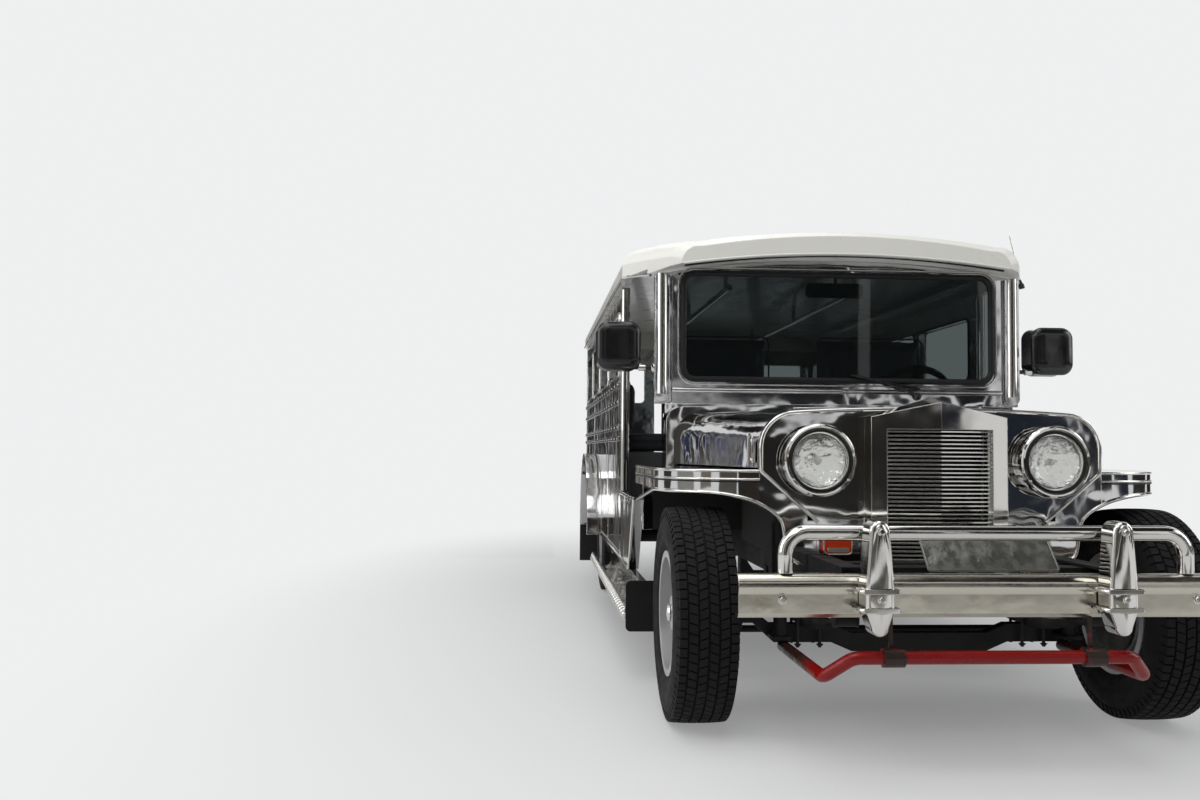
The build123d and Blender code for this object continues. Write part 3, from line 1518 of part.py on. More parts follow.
for side, axle_y, name in (
    (1, front_y, "front_left"),
    (-1, front_y, "front_right"),
    (1, rear_y, "rear_left"),
    (-1, rear_y, "rear_right"),
):
    spin_axis = Axis((0, axle_y, axle_z), (1, 0, 0))
    wheel_plane = Plane(origin=(side * wheel_x, axle_y, axle_z), x_dir=(side, 0, 0), z_dir=(0, -side, 0))
    with BuildPart() as tyre:
        with BuildSketch(wheel_plane):
            with BuildLine():
                Polyline(
                    *[(-along, radius) for along, radius in tyre_profile],
                    *[(along, radius) for along, radius in reversed(tyre_profile)],
                    close=True,
                )
            make_face()
        revolve(axis=spin_axis, revolution_arc=360)
    save(tyre.part, f"tyre_{name}")
    with BuildPart() as rim:
        with BuildSketch(wheel_plane):
            with BuildLine():
                Polyline(
                    (-90, rim_radius - 8),
                    (-90, rim_radius + 14),
                    (-bead_half - seat_gap, rim_radius + 14),
                    (-bead_half - seat_gap, rim_radius),
                    (bead_half + seat_gap, rim_radius),
                    (bead_half + seat_gap, rim_radius + 14),
                    (90, rim_radius + 14),
                    (90, rim_radius - 8),
                    (40, rim_radius - 8),
                    (30, 120),
                    (48, 95),
                    (44, 62),
                    (72, 56),
                    (76, 30),
                    (76, spindle_radius + running_gap),
                    (-70, spindle_radius + running_gap),
                    (-70, 60),
                    (-20, 60),
                    (-20, drum_radius - 12),
                    (-68, drum_radius - 12),
                    (-68, drum_radius),
                    (6, drum_radius),
                    (18, 118),
                    (26, rim_radius - 14),
                    (20, rim_radius - 8),
                    close=True,
                )
            make_face()
        revolve(axis=spin_axis, revolution_arc=360)
        # Hand holes through the disc, outside the drum
        with BuildSketch(facing_left(side * wheel_x - 60)):
            with Locations((axle_y, axle_z)):
                with PolarLocations(hand_hole_ring, hand_hole_count):
                    Circle(hand_hole_radius)
        extrude(amount=120, mode=Mode.SUBTRACT)
    save(rim.part, f"rim_{name}")

# Steering knuckles: a fork round the axle's boss, the king-pin, a spindle and an arm for the tie rod
arm_y = front_y + 140
arm_z = axle_z - 70
arm_x = king_x
fork = 18
spindle_front_root = backing_x
for side, name in ((1, "knuckle_left"), (-1, "knuckle_right")):
    with BuildPart() as knuckle:
        for low in (axle_z + boss_height / 2 + seat_gap, axle_z - boss_height / 2 - seat_gap - fork):
            with BuildSketch(Plane.XY.offset(low)):
                with Locations((side * king_x, front_y)):
                    Circle(28)
                with Locations((side * (king_x + backing_x + 3) / 2, front_y)):
                    Rectangle(backing_x + 3 - king_x, 56)
            extrude(amount=fork)
        with BuildSketch(Plane.XY.offset(axle_z - boss_height / 2 - fork)):
            with Locations((side * king_x, front_y)):
                Circle(king_radius)
        extrude(amount=boss_height + 2 * fork)
        with BuildSketch(facing_left(side * spindle_front_root)):
            with Locations((front_y, axle_z)):
                Circle(backing_radius)
        extrude(amount=side * 6)
        with BuildSketch(facing_left(side * spindle_front_root)):
            with Locations((front_y, axle_z)):
                Circle(spindle_radius)
        extrude(amount=side * (spindle_end_x - spindle_front_root))
        with BuildSketch(Plane.XY.offset(axle_z - boss_height / 2 - seat_gap - fork)):
            with BuildLine():
                Polyline(
                    (side * (king_x - 20), front_y),
                    (side * (king_x + 20), front_y),
                    (side * (arm_x + 18), arm_y + 16),
                    (side * (arm_x - 18), arm_y + 16),
                    close=True,
                )
            make_face()
        extrude(amount=fork)
        with BuildSketch(Plane.XY.offset(arm_z - 20)):
            with Locations((side * arm_x, arm_y)):
                Circle(9)
        extrude(amount=axle_z - boss_height / 2 - fork - arm_z + 21)
    save(knuckle.part, name)

# Tie rod between the two steering arms
rod_radius = 12
with BuildPart() as tie_rod:
    for side in (-1, 1):
        with BuildSketch(Plane.XY.offset(arm_z - 18)):
            with Locations((side * arm_x, arm_y)):
                Circle(20)
        extrude(amount=26)
    with BuildSketch(facing_left(-arm_x)):
        with Locations((arm_y, arm_z - 5)):
            Circle(rod_radius)
    extrude(amount=2 * arm_x)
    with BuildSketch(Plane.XY.offset(arm_z - 30)):
        with Locations((-arm_x, arm_y), (arm_x, arm_y)):
            Circle(9 + running_gap)
    extrude(amount=60, mode=Mode.SUBTRACT)
save(tie_rod.part, "tie_rod")
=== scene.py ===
# %% [markdown]
# # Dressing a jeepney
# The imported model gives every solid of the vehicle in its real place. This script keeps those
# solids as a fixed frame, gives each a finish, and adds what is too fine for the solids: tyre
# tread, rubber seals, bolts, beads and padded seats. All lengths are in metres, the front faces
# -Y, +X is the vehicle's left and the ground is z = 0.

# %% Load the frame
import json
import math

import bmesh
import bpy
from mathutils import Matrix, Vector


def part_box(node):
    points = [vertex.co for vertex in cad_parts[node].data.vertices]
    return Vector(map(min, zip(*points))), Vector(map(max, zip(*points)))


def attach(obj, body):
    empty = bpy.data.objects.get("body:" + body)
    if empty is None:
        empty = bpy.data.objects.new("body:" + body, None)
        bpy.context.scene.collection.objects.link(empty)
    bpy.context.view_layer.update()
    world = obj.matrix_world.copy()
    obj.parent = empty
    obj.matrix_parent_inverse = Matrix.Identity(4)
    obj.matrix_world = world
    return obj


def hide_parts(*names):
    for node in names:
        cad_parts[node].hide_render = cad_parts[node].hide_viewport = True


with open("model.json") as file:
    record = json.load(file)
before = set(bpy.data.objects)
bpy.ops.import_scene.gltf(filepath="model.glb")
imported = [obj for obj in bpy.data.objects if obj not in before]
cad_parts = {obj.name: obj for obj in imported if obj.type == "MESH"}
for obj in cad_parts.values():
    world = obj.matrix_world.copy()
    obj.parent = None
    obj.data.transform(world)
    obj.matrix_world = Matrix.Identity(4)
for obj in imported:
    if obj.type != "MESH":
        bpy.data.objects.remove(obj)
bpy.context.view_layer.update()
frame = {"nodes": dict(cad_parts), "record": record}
nodes = frame["nodes"]
packed_finishes = len(bpy.data.materials)

# %% [markdown]
# ## Helpers for shapes
# Most small pieces are made from a list of points and a list of faces. A lathe turns a profile
# round an axis, a bent tube follows points, and a bolt is a short six-sided lathe. Each helper
# gives the new object its finish and lets it ride on the body that carries it.

# %% Make an object from points and faces
def piece(name, points, faces, finish, body="chassis", slot=None, smooth_angle=35):
    mesh = bpy.data.meshes.new(name)
    mesh.from_pydata([tuple(p) for p in points], [], faces)
    mesh.validate()
    made = bpy.data.objects.new(name, mesh)
    bpy.context.scene.collection.objects.link(made)
    mesh.materials.append(finish)
    tidy = bmesh.new()
    tidy.from_mesh(mesh)
    bmesh.ops.recalc_face_normals(tidy, faces=tidy.faces)
    limit = math.radians(smooth_angle)
    for face in tidy.faces:
        face.smooth = True
    for edge in tidy.edges:
        edge.smooth = len(edge.link_faces) == 2 and edge.calc_face_angle() < limit
    tidy.to_mesh(mesh)
    tidy.free()
    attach(made, body)
    return made


# %% Turn a profile round an axis
def lathe(profile, centre, axis, steps=48, closed=False):
    """Points and faces of a profile of (radius, height) pairs turned round an axis."""
    axis = Vector(axis).normalized()
    side = axis.orthogonal().normalized()
    other = axis.cross(side)
    points, faces = [], []
    for step in range(steps):
        turn = 2 * math.pi * step / steps
        out = side * math.cos(turn) + other * math.sin(turn)
        for radius, height in profile:
            points.append(Vector(centre) + out * radius + axis * height)
    count = len(profile)
    rows = count if closed else count - 1
    for step in range(steps):
        this, after = step * count, ((step + 1) % steps) * count
        for row in range(rows):
            up = (row + 1) % count
            faces.append((this + row, this + up, after + up, after + row))
    return points, faces


def joined(parts):
    """Several (points, faces) pairs as one."""
    points, faces = [], []
    for some_points, some_faces in parts:
        start = len(points)
        points += list(some_points)
        faces += [tuple(start + i for i in face) for face in some_faces]
    return points, faces


# %% A bolt head with its washer
def bolt(place, axis, size=0.008):
    washer_profile = [(0.0, 0.0), (size * 1.35, 0.0), (size * 1.35, 0.0015), (size, 0.002)]
    head_profile = [(size, 0.0015), (size, size * 0.62), (size * 0.82, size * 0.8), (0.0, size * 0.8)]
    return joined([lathe(washer_profile, place, axis, 16), lathe(head_profile, place, axis, 6)])


# %% Most fittings come in pairs, one on each side
sides = ((-1, "right"), (1, "left"))


# %% A bent tube or bead along points
def bead(name, points, radius, finish, body="chassis", closed=False, smooth=False):
    curve = bpy.data.curves.new(name, "CURVE")
    curve.dimensions = "3D"
    curve.bevel_depth = radius
    curve.bevel_resolution = 3
    curve.use_fill_caps = True
    curve.resolution_u = 6
    spline = curve.splines.new("NURBS" if smooth else "POLY")
    spline.points.add(len(points) - 1)
    for point, place in zip(spline.points, points):
        point.co = (*place, 1.0)
    spline.use_cyclic_u = closed
    if smooth:
        spline.order_u = 3
        spline.use_endpoint_u = not closed
    made = bpy.data.objects.new(name, curve)
    bpy.context.scene.collection.objects.link(made)
    curve.materials.append(finish)
    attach(made, body)
    return made


def rounded_loop(half_width, low, high, radius, steps=6):
    """(across, up) points round a rectangle with rounded corners."""
    loop = []
    for centre_x, centre_z, start in (
        (half_width - radius, low + radius, -90),
        (half_width - radius, high - radius, 0),
        (radius - half_width, high - radius, 90),
        (radius - half_width, low + radius, 180),
    ):
        for step in range(steps + 1):
            turn = math.radians(start + 90 * step / steps)
            loop.append((centre_x + radius * math.cos(turn), centre_z + radius * math.sin(turn)))
    return loop


def arc(start, middle, end, steps=10):
    """Points of the circle's arc through three flat points."""
    (ax, ay), (bx, by), (cx, cy) = start, middle, end
    cross = 2 * (ax * (by - cy) + bx * (cy - ay) + cx * (ay - by))
    a2, b2, c2 = ax * ax + ay * ay, bx * bx + by * by, cx * cx + cy * cy
    ox = (a2 * (by - cy) + b2 * (cy - ay) + c2 * (ay - by)) / cross
    oy = (a2 * (cx - bx) + b2 * (ax - cx) + c2 * (bx - ax)) / cross
    first, mid, last = (math.atan2(y - oy, x - ox) for x, y in (start, middle, end))
    turn = (last - first) % (2 * math.pi)
    if (mid - first) % (2 * math.pi) > turn:
        turn -= 2 * math.pi
    radius = math.hypot(ax - ox, ay - oy)
    return [
        (ox + radius * math.cos(first + turn * i / steps), oy + radius * math.sin(first + turn * i / steps))
        for i in range(steps + 1)
    ]


# %% A plate with a chamfered face, standing on a plane
def slab(loop, place, across, up, thick, chamfer=0.002):
    """A plate: loop is its outline on the two directions, and its face looks along across x up."""
    across, up = Vector(across).normalized(), Vector(up).normalized()
    out = across.cross(up)
    middle_x = sum(x for x, y in loop) / len(loop)
    middle_y = sum(y for x, y in loop) / len(loop)
    points = []
    for height, inset in ((0.0, 0.0), (thick - chamfer, 0.0), (thick, chamfer)):
        for x, y in loop:
            span = math.hypot(x - middle_x, y - middle_y)
            keep = 1 - inset / span
            flat = across * (middle_x + (x - middle_x) * keep) + up * (middle_y + (y - middle_y) * keep)
            points.append(Vector(place) + flat + out * height)
    count = len(loop)
    faces = [tuple(reversed(range(count))), tuple(range(2 * count, 3 * count))]
    for row in (0, count):
        for i in range(count):
            j = (i + 1) % count
            faces.append((row + i, row + j, row + count + j, row + count + i))
    return points, faces


# %% A bead round a rounded rectangle that faces the front or the back
def rim_bead(name, middle, half_width, half_height, corner, radius, finish, steps=6):
    x, y, z = middle
    loop = rounded_loop(half_width, -half_height, half_height, corner, steps)
    route = [(x + across, y, z + up) for across, up in loop]
    return bead(name, route, radius, finish, closed=True)


# %% [markdown]
# ## Finishes
# Polished stainless sheet is never flat: it mirrors the room in slow waves, with fine scratches
# and dust near the ground. A picture of steel would carry one fixed reflection, so the finishes
# are worked out from patterns instead. Each starts from one shader and gets up to three layers:
# slow waves and a soft edge in the normal, patches in the roughness, and road dust that gathers
# low on the vehicle.

# %% Start a finish
def start_finish(name, colour, roughness, metallic=0.0, **others):
    """A material with one shader. others are more of its values, such as IOR=1.45."""
    finish = bpy.data.materials.new(name)
    finish.use_nodes = True
    shader = shader_of(finish)
    shader.inputs["Base Color"].default_value = (*colour, 1)
    shader.inputs["Roughness"].default_value = roughness
    shader.inputs["Metallic"].default_value = metallic
    for key, value in others.items():
        shader.inputs[key.replace("_", " ")].default_value = value
    finish.diffuse_color = (*colour, 1)
    return finish


def shader_of(finish):
    return finish.node_tree.nodes["Principled BSDF"]


# %% Add a node and link two sockets
def add_node(finish, kind, **values):
    node = finish.node_tree.nodes.new(kind)
    for key, value in values.items():
        if hasattr(node, key):
            setattr(node, key, value)
        else:
            node.inputs[key.replace("_", " ")].default_value = value
    return node


def link(finish, source, target):
    finish.node_tree.links.new(source, target)


# %% Rescale a value, combine values and blend two colours
def remap(finish, source, from_low, from_high, to_low=0.0, to_high=1.0):
    """Where source stands on the first span, given on the second span."""
    spread = add_node(finish, "ShaderNodeMapRange")
    spread.inputs["From Min"].default_value = from_low
    spread.inputs["From Max"].default_value = from_high
    spread.inputs["To Min"].default_value = to_low
    spread.inputs["To Max"].default_value = to_high
    link(finish, source, spread.inputs["Value"])
    return spread.outputs["Result"]


def combine(finish, operation, *sources):
    """The value of a maths node. Each source is a socket or a number."""
    node = add_node(finish, "ShaderNodeMath", operation=operation)
    for target, source in zip(node.inputs, sources):
        if isinstance(source, float):
            target.default_value = source
        else:
            link(finish, source, target)
    return node.outputs["Value"]


def blend_colour(finish, share, first, second):
    """A colour between first, a socket or a colour, and the colour second."""
    mix = add_node(finish, "ShaderNodeMix", data_type="RGBA")
    if isinstance(first, tuple):
        mix.inputs["A"].default_value = (*first, 1)
    else:
        link(finish, first, mix.inputs["A"])
    mix.inputs["B"].default_value = (*second, 1)
    link(finish, share, mix.inputs["Factor"])
    return mix.outputs["Result"]


# %% Patterns and places that the layers read
def noise_of(finish, scale, detail, vector=None):
    """A cloudy pattern that stays with the piece, or follows the vector given."""
    if vector is None:
        vector = add_node(finish, "ShaderNodeTexCoord").outputs["Object"]
    noise = add_node(finish, "ShaderNodeTexNoise", Scale=scale, Detail=detail)
    link(finish, vector, noise.inputs["Vector"])
    return noise.outputs["Fac"]


def axes_of(finish, what):
    """X, Y and Z of the shaded spot's Position or Normal."""
    spot = add_node(finish, "ShaderNodeNewGeometry")
    apart = add_node(finish, "ShaderNodeSeparateXYZ")
    link(finish, spot.outputs[what], apart.inputs["Vector"])
    return apart.outputs


# %% Roughness patches, bumps and road dust
def patches(finish, scale, low, high):
    rough = remap(finish, noise_of(finish, scale, 4.0), 0.3, 0.7, low, high)
    link(finish, rough, shader_of(finish).inputs["Roughness"])


def bumps(finish, layers, edge=0.0):
    """Adds one bump per (scale, distance) pair, over a softened edge."""
    last = None
    if edge:
        soft = add_node(finish, "ShaderNodeBevel", samples=4)
        soft.inputs["Radius"].default_value = edge
        last = soft.outputs["Normal"]
    for scale, distance in layers:
        bump = add_node(finish, "ShaderNodeBump", Strength=1.0, Distance=distance)
        link(finish, noise_of(finish, scale, 2.0), bump.inputs["Height"])
        if last:
            link(finish, last, bump.inputs["Normal"])
        last = bump.outputs["Normal"]
    link(finish, last, shader_of(finish).inputs["Normal"])


def road_dust(finish, dust=(0.21, 0.19, 0.165), top=0.85, most=0.6):
    """Mixes dust into the colour, more of it near the ground, in patches."""
    target = shader_of(finish).inputs["Base Color"]
    colour = tuple(target.default_value)[:3]
    low = remap(finish, axes_of(finish, "Position")["Z"], 0.1, top, most, 0.0)
    share = combine(finish, "MULTIPLY", low, noise_of(finish, 7.0, 6.0))
    link(finish, blend_colour(finish, share, colour, dust), target)


# %% Painted shade on faces that look down, back or inward, and inside the wheel arches
painted_shade_colour = (0.012, 0.011, 0.010)
painted_shade_roughness = 0.85
arch_half_width, arch_top, arch_front = 0.8, 0.75, -2.19


def paint_shade_inside(finish):
    """Paints shade: darkens and dulls the faces that look down, back or to the middle plane, and all inside
    the wheel arches.
    """
    shader = shader_of(finish)
    facing = axes_of(finish, "Normal")
    spot = axes_of(finish, "Position")
    down = remap(finish, facing["Z"], -0.35, -0.6)
    back = remap(finish, facing["Y"], 0.4, 0.7)
    inward = remap(finish, combine(finish, "MULTIPLY", facing["X"], spot["X"]), -0.12, -0.3)
    between = combine(finish, "LESS_THAN", combine(finish, "ABSOLUTE", spot["X"]), arch_half_width)
    below = combine(finish, "LESS_THAN", spot["Z"], arch_top)
    behind = combine(finish, "GREATER_THAN", spot["Y"], arch_front)
    painted_shade = combine(finish, "MULTIPLY", combine(finish, "MULTIPLY", between, below), behind)
    for share in (down, back, inward):
        painted_shade = combine(finish, "MAXIMUM", painted_shade, share)
    unshaded = shader.inputs["Base Color"].links[0].from_socket
    link(finish, blend_colour(finish, painted_shade, unshaded, painted_shade_colour), shader.inputs["Base Color"])
    rough = add_node(finish, "ShaderNodeMix", data_type="FLOAT")
    rough.inputs["B"].default_value = painted_shade_roughness
    link(finish, shader.inputs["Roughness"].links[0].from_socket, rough.inputs["A"])
    link(finish, painted_shade, rough.inputs["Factor"])
    link(finish, rough.outputs["Result"], shader.inputs["Roughness"])
    link(finish, combine(finish, "SUBTRACT", 1.0, painted_shade), shader.inputs["Metallic"])


# %% Metals
stainless = start_finish("polished_stainless", (0.60, 0.60, 0.60), 0.12, 1.0)
patches(stainless, 5, 0.04, 0.13)
bumps(stainless, ((1.7, 0.014), (7, 0.0022)), edge=0.004)
road_dust(stainless, most=0.35, top=0.5)

pressed_steel = start_finish("pressed_stainless", (0.60, 0.60, 0.60), 0.12, 1.0)
patches(pressed_steel, 5, 0.02, 0.09)
bumps(pressed_steel, ((1.9, 0.016), (6, 0.0026)), edge=0.004)
road_dust(pressed_steel, most=0.35, top=0.5)
# Painted shade: near-black and matt on the sheet's undersides, inner faces and inside the wheel arches
paint_shade_inside(pressed_steel)

chrome = start_finish("chrome_plate", (0.64, 0.63, 0.605), 0.05, 1.0)
patches(chrome, 14, 0.03, 0.1)
bumps(chrome, ((5, 0.0018),), edge=0.003)
road_dust(chrome, most=0.2, top=0.45)

bumper_steel = start_finish("bumper_steel", (0.56, 0.535, 0.465), 0.16, 1.0)
patches(bumper_steel, 7, 0.1, 0.24)
bumps(bumper_steel, ((4, 0.004), (18, 0.0006)), edge=0.004)
road_dust(bumper_steel, dust=(0.25, 0.24, 0.2), most=0.25, top=0.6)

wheel_silver = start_finish("wheel_silver", (0.5, 0.5, 0.51), 0.38, 0.55)
patches(wheel_silver, 20, 0.3, 0.5)
bumps(wheel_silver, ((90, 0.0004),), edge=0.003)
road_dust(wheel_silver, most=0.7, top=0.7)

rust_steel = start_finish("stained_steel", (0.2, 0.16, 0.13), 0.55, 0.7)
patches(rust_steel, 18, 0.45, 0.8)
bumps(rust_steel, ((60, 0.0015),), edge=0.003)
road_dust(rust_steel, most=0.7)

iron = start_finish("cast_iron", (0.03, 0.029, 0.028), 0.65, 0.3, Specular_IOR_Level=0.25)
patches(iron, 20, 0.5, 0.75)
bumps(iron, ((120, 0.001),), edge=0.004)
road_dust(iron, dust=(0.09, 0.08, 0.07), most=0.5)
print("metals:", len(bpy.data.materials) - packed_finishes)

# %% Paints
chassis_black = start_finish("chassis_black", (0.009, 0.009, 0.0095), 0.55, Specular_IOR_Level=0.22)
patches(chassis_black, 9, 0.4, 0.7)
bumps(chassis_black, ((70, 0.0008),), edge=0.003)
road_dust(chassis_black, dust=(0.07, 0.062, 0.054), most=0.4)

white_paint = start_finish("roof_white", (0.8, 0.79, 0.74), 0.3, Coat_Weight=0.35, Coat_Roughness=0.12)
patches(white_paint, 6, 0.24, 0.4)
bumps(white_paint, ((2.2, 0.006), (240, 0.0001)), edge=0.006)

floor_plate = start_finish("floor_grey", (0.2, 0.205, 0.21), 0.5)
patches(floor_plate, 10, 0.4, 0.65)
bumps(floor_plate, ((40, 0.0008),), edge=0.003)
print("finishes with the paints:", len(bpy.data.materials) - packed_finishes)

# %% Red paint of the bar, worn to brown rust where the clamps hold it, and darkened on the arms behind by painted shade
red_colour, rust_and_shade_colour = (0.26, 0.004, 0.003), (0.030, 0.017, 0.013)
clamp_x, clamp_half_width = 0.288, 0.030
arm_front_y, arm_rear_y, arm_shade = -2.60, -2.46, 0.93
red_paint = start_finish("red_paint", red_colour, 0.3, Specular_IOR_Level=0.35)
patches(red_paint, 16, 0.2, 0.42)
bumps(red_paint, ((80, 0.0005),), edge=0.002)
spot = axes_of(red_paint, "Position")
off_clamp = combine(red_paint, "SUBTRACT", combine(red_paint, "ABSOLUTE", spot["X"]), clamp_x)
off_clamp = combine(red_paint, "ABSOLUTE", off_clamp)
at_clamp = remap(red_paint, off_clamp, clamp_half_width + 0.002, clamp_half_width)
place = add_node(red_paint, "ShaderNodeNewGeometry").outputs["Position"]
flaked = remap(red_paint, noise_of(red_paint, 34.0, 5.0, place), 0.36, 0.46)
# Painted shade: the arms turn to the same dark brown towards the rear
shade_on_arms = remap(red_paint, spot["Y"], arm_front_y, arm_rear_y, 0.0, arm_shade)
rust_and_shade = combine(red_paint, "MAXIMUM", combine(red_paint, "MULTIPLY", at_clamp, flaked), shade_on_arms)
red_with_rust_and_shade = blend_colour(red_paint, rust_and_shade, red_colour, rust_and_shade_colour)
link(red_paint, red_with_rust_and_shade, shader_of(red_paint).inputs["Base Color"])
print("nodes in the red paint:", len(red_paint.node_tree.nodes))

# %% Rubber, plastic, seat cover and the bare plate
tyre_rubber = start_finish("tyre_rubber", (0.009, 0.009, 0.0095), 0.7, Specular_IOR_Level=0.14)
patches(tyre_rubber, 30, 0.6, 0.85)
bumps(tyre_rubber, ((220, 0.0006), (45, 0.0008)))
road_dust(tyre_rubber, dust=(0.06, 0.054, 0.048), most=0.3, top=0.7)

seal_rubber = start_finish("seal_rubber", (0.008, 0.008, 0.0085), 0.5, Specular_IOR_Level=0.3)
patches(seal_rubber, 30, 0.4, 0.6)
bumps(seal_rubber, ((150, 0.0003),))

black_plastic = start_finish("black_plastic", (0.010, 0.010, 0.011), 0.14)
patches(black_plastic, 25, 0.08, 0.22)
bumps(black_plastic, ((300, 0.0001),), edge=0.004)

seat_vinyl = start_finish("seat_vinyl", (0.045, 0.05, 0.065), 0.45)
patches(seat_vinyl, 12, 0.36, 0.55)
bumps(seat_vinyl, ((420, 0.0006), (30, 0.0015)))

plate_white = start_finish("plate_white", (0.25, 0.255, 0.235), 0.3, 0.7)
patches(plate_white, 25, 0.12, 0.45)
bumps(plate_white, ((9, 0.010), (45, 0.0012)), edge=0.002)
road_dust(plate_white, dust=(0.07, 0.062, 0.05), most=0.75, top=1.4)
print("finishes without the clear ones:", len(bpy.data.materials) - packed_finishes)

# %% Glass, lamp lenses and mirrors
window_glass = start_finish("window_glass", (0.09, 0.108, 0.108), 0.02, Transmission_Weight=1.0, IOR=1.45)
bumps(window_glass, ((1.5, 0.0008),))

lamp_glass = start_finish("lamp_glass", (0.98, 0.985, 0.98), 0.05, Transmission_Weight=1.0, IOR=1.22)
bumps(lamp_glass, ((38, 0.006), (110, 0.0015)))

reflector = start_finish("lamp_reflector", (0.62, 0.62, 0.60), 0.16, 1.0)
patches(reflector, 26, 0.08, 0.26)
bumps(reflector, ((30, 0.011), (75, 0.003)))

amber = start_finish("amber_plastic", (0.72, 0.045, 0.004), 0.12, Transmission_Weight=0.15)
bumps(amber, ((160, 0.0015),), edge=0.002)

clear_plastic = start_finish("clear_plastic", (0.62, 0.55, 0.44), 0.12, Transmission_Weight=0.6)
bumps(clear_plastic, ((170, 0.0012),), edge=0.001)

red_lens = start_finish("red_plastic", (0.45, 0.006, 0.006), 0.12, Transmission_Weight=0.25)
bumps(red_lens, ((170, 0.0012),), edge=0.001)

bulb_glass = start_finish("bulb_glass", (0.9, 0.9, 0.86), 0.08, Transmission_Weight=0.5)
bumps(bulb_glass, ((80, 0.0004),))

mirror_glass = start_finish("mirror_glass", (0.85, 0.87, 0.88), 0.02, 1.0)
bumps(mirror_glass, ((3, 0.0003),))

print("finishes:", len(bpy.data.materials) - packed_finishes)

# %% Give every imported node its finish
finish_of_slot = {
    "chassis_black": chassis_black,
    "engine_iron": iron,
    "exhaust_steel": rust_steel,
    "floor_plate": floor_plate,
    "polished_steel": stainless,
    "radiator_black": chassis_black,
    "chrome": chrome,
    "lamp_glass": lamp_glass,
    "signal_plastic": amber,
    "window_glass": window_glass,
    "white_paint": white_paint,
    "rubber": seal_rubber,
    "red_paint": red_paint,
    "vinyl": seat_vinyl,
    "dash_plastic": black_plastic,
    "blank_plate": plate_white,
    "tyre": tyre_rubber,
    "wheel_paint": wheel_silver,
}
slot_of_node = {part["node"]: part["material_slot"] for part in frame["record"]["subparts"]}
for name, made in nodes.items():
    made.data.materials.clear()
    made.data.materials.append(finish_of_slot[slot_of_node[name]])

nodes["bumper"].data.materials[0] = bumper_steel
for name in ("front_fender_left", "front_fender_right", "front_panel", "bonnet", "cowl"):
    nodes[name].data.materials[0] = pressed_steel
print("nodes with a finish:", len(nodes))

# %% [markdown]
# ## Tyres
# A road tyre is a smooth carcass with a tread of separate blocks. A bump in the finish would leave
# its outline smooth, so the tread is made as a mesh. The carcass is turned from its section, and
# each block is a small chamfered prism set on the crown. The same points serve all four wheels.

# %% Tyre sizes
tyre_radius = 0.352
groove_radius = 0.343
tread_pitches = 74
# Columns: across the tread, radius
carcass_half = (
    (0.0, groove_radius + 0.001), (0.045, groove_radius), (0.078, groove_radius - 0.002), (0.088, 0.334),
    (0.095, 0.318), (0.101, 0.296), (0.103, 0.268), (0.0995, 0.262), (0.098, 0.244), (0.0915, 0.223),
    (0.0885, 0.2205), (0.084, 0.208), (0.082, 0.1925),
)
# Columns: centre across the tread, width, share of a pitch, shift in pitches, skew
ribs = (
    (-0.0785, 0.025, 0.86, 0.0, 0.0),
    (-0.0480, 0.027, 0.89, 0.5, 0.16),
    (-0.0160, 0.026, 0.90, 0.0, -0.18),
    (0.0160, 0.026, 0.90, 0.5, 0.18),
    (0.0480, 0.027, 0.89, 0.0, -0.16),
    (0.0785, 0.025, 0.86, 0.5, 0.0),
)


# %% One block of the tread
def crown(across):
    """The tread's radius, a little less towards its shoulders."""
    return tyre_radius - 0.0045 * (abs(across) / 0.092) ** 2.6


def tread_block(centre, width, start, end, skew):
    """A chamfered block on the crown between two angles."""
    points, faces = [], []
    chamfer = 0.0016
    for drop, inset in ((0.011, 0.0), (0.0018, 0.0), (0.0, chamfer)):
        for side, edge in ((-1, start), (-1, end), (1, end), (1, start)):
            across = centre + side * (width / 2 - inset)
            turn_inset = inset / tyre_radius * (1 if edge == start else -1)
            turn = edge + turn_inset + side * skew * (end - start)
            radius = crown(across) - drop
            points.append(Vector((across, radius * math.cos(turn), radius * math.sin(turn))))
    for low in (0, 4):
        for i in range(4):
            j = (i + 1) % 4
            faces.append((low + i, low + j, low + 4 + j, low + 4 + i))
    faces.append((8, 9, 10, 11))
    return points, faces


# %% Carcass and tread blocks
section = [(r, a) for a, r in carcass_half] + [(r, -a) for a, r in reversed(carcass_half[1:])]
tyre_parts = [lathe(section, (0, 0, 0), (1, 0, 0), 96, closed=True)]
pitch = 2 * math.pi / tread_pitches
for centre, width, share, shift, skew in ribs:
    for i in range(tread_pitches):
        start = (i + shift) * pitch
        tyre_parts.append(tread_block(centre, width, start, start + share * pitch, skew))
print("tread blocks:", len(tyre_parts) - 1)

# %% Short lugs that wrap down each shoulder
# Columns: across the tread, radius
lug_section = ((0.0885, 0.3425), (0.0935, 0.3335), (0.0975, 0.3200), (0.0930, 0.3180), (0.0840, 0.3320))
lug_faces = [(0, 1, 3, 2), (2, 3, 5, 4), (4, 5, 7, 6), (0, 2, 4, 6, 8), (1, 9, 7, 5, 3)]
for side in (-1, 1):
    for i in range(tread_pitches):
        lug_points = []
        for across, radius in lug_section:
            for turn in ((i + 0.06) * pitch, (i + 0.7) * pitch):
                lug_points.append(Vector((side * across, radius * math.cos(turn), radius * math.sin(turn))))
        tyre_parts.append((lug_points, lug_faces))
print("shoulder lugs:", 2 * tread_pitches)

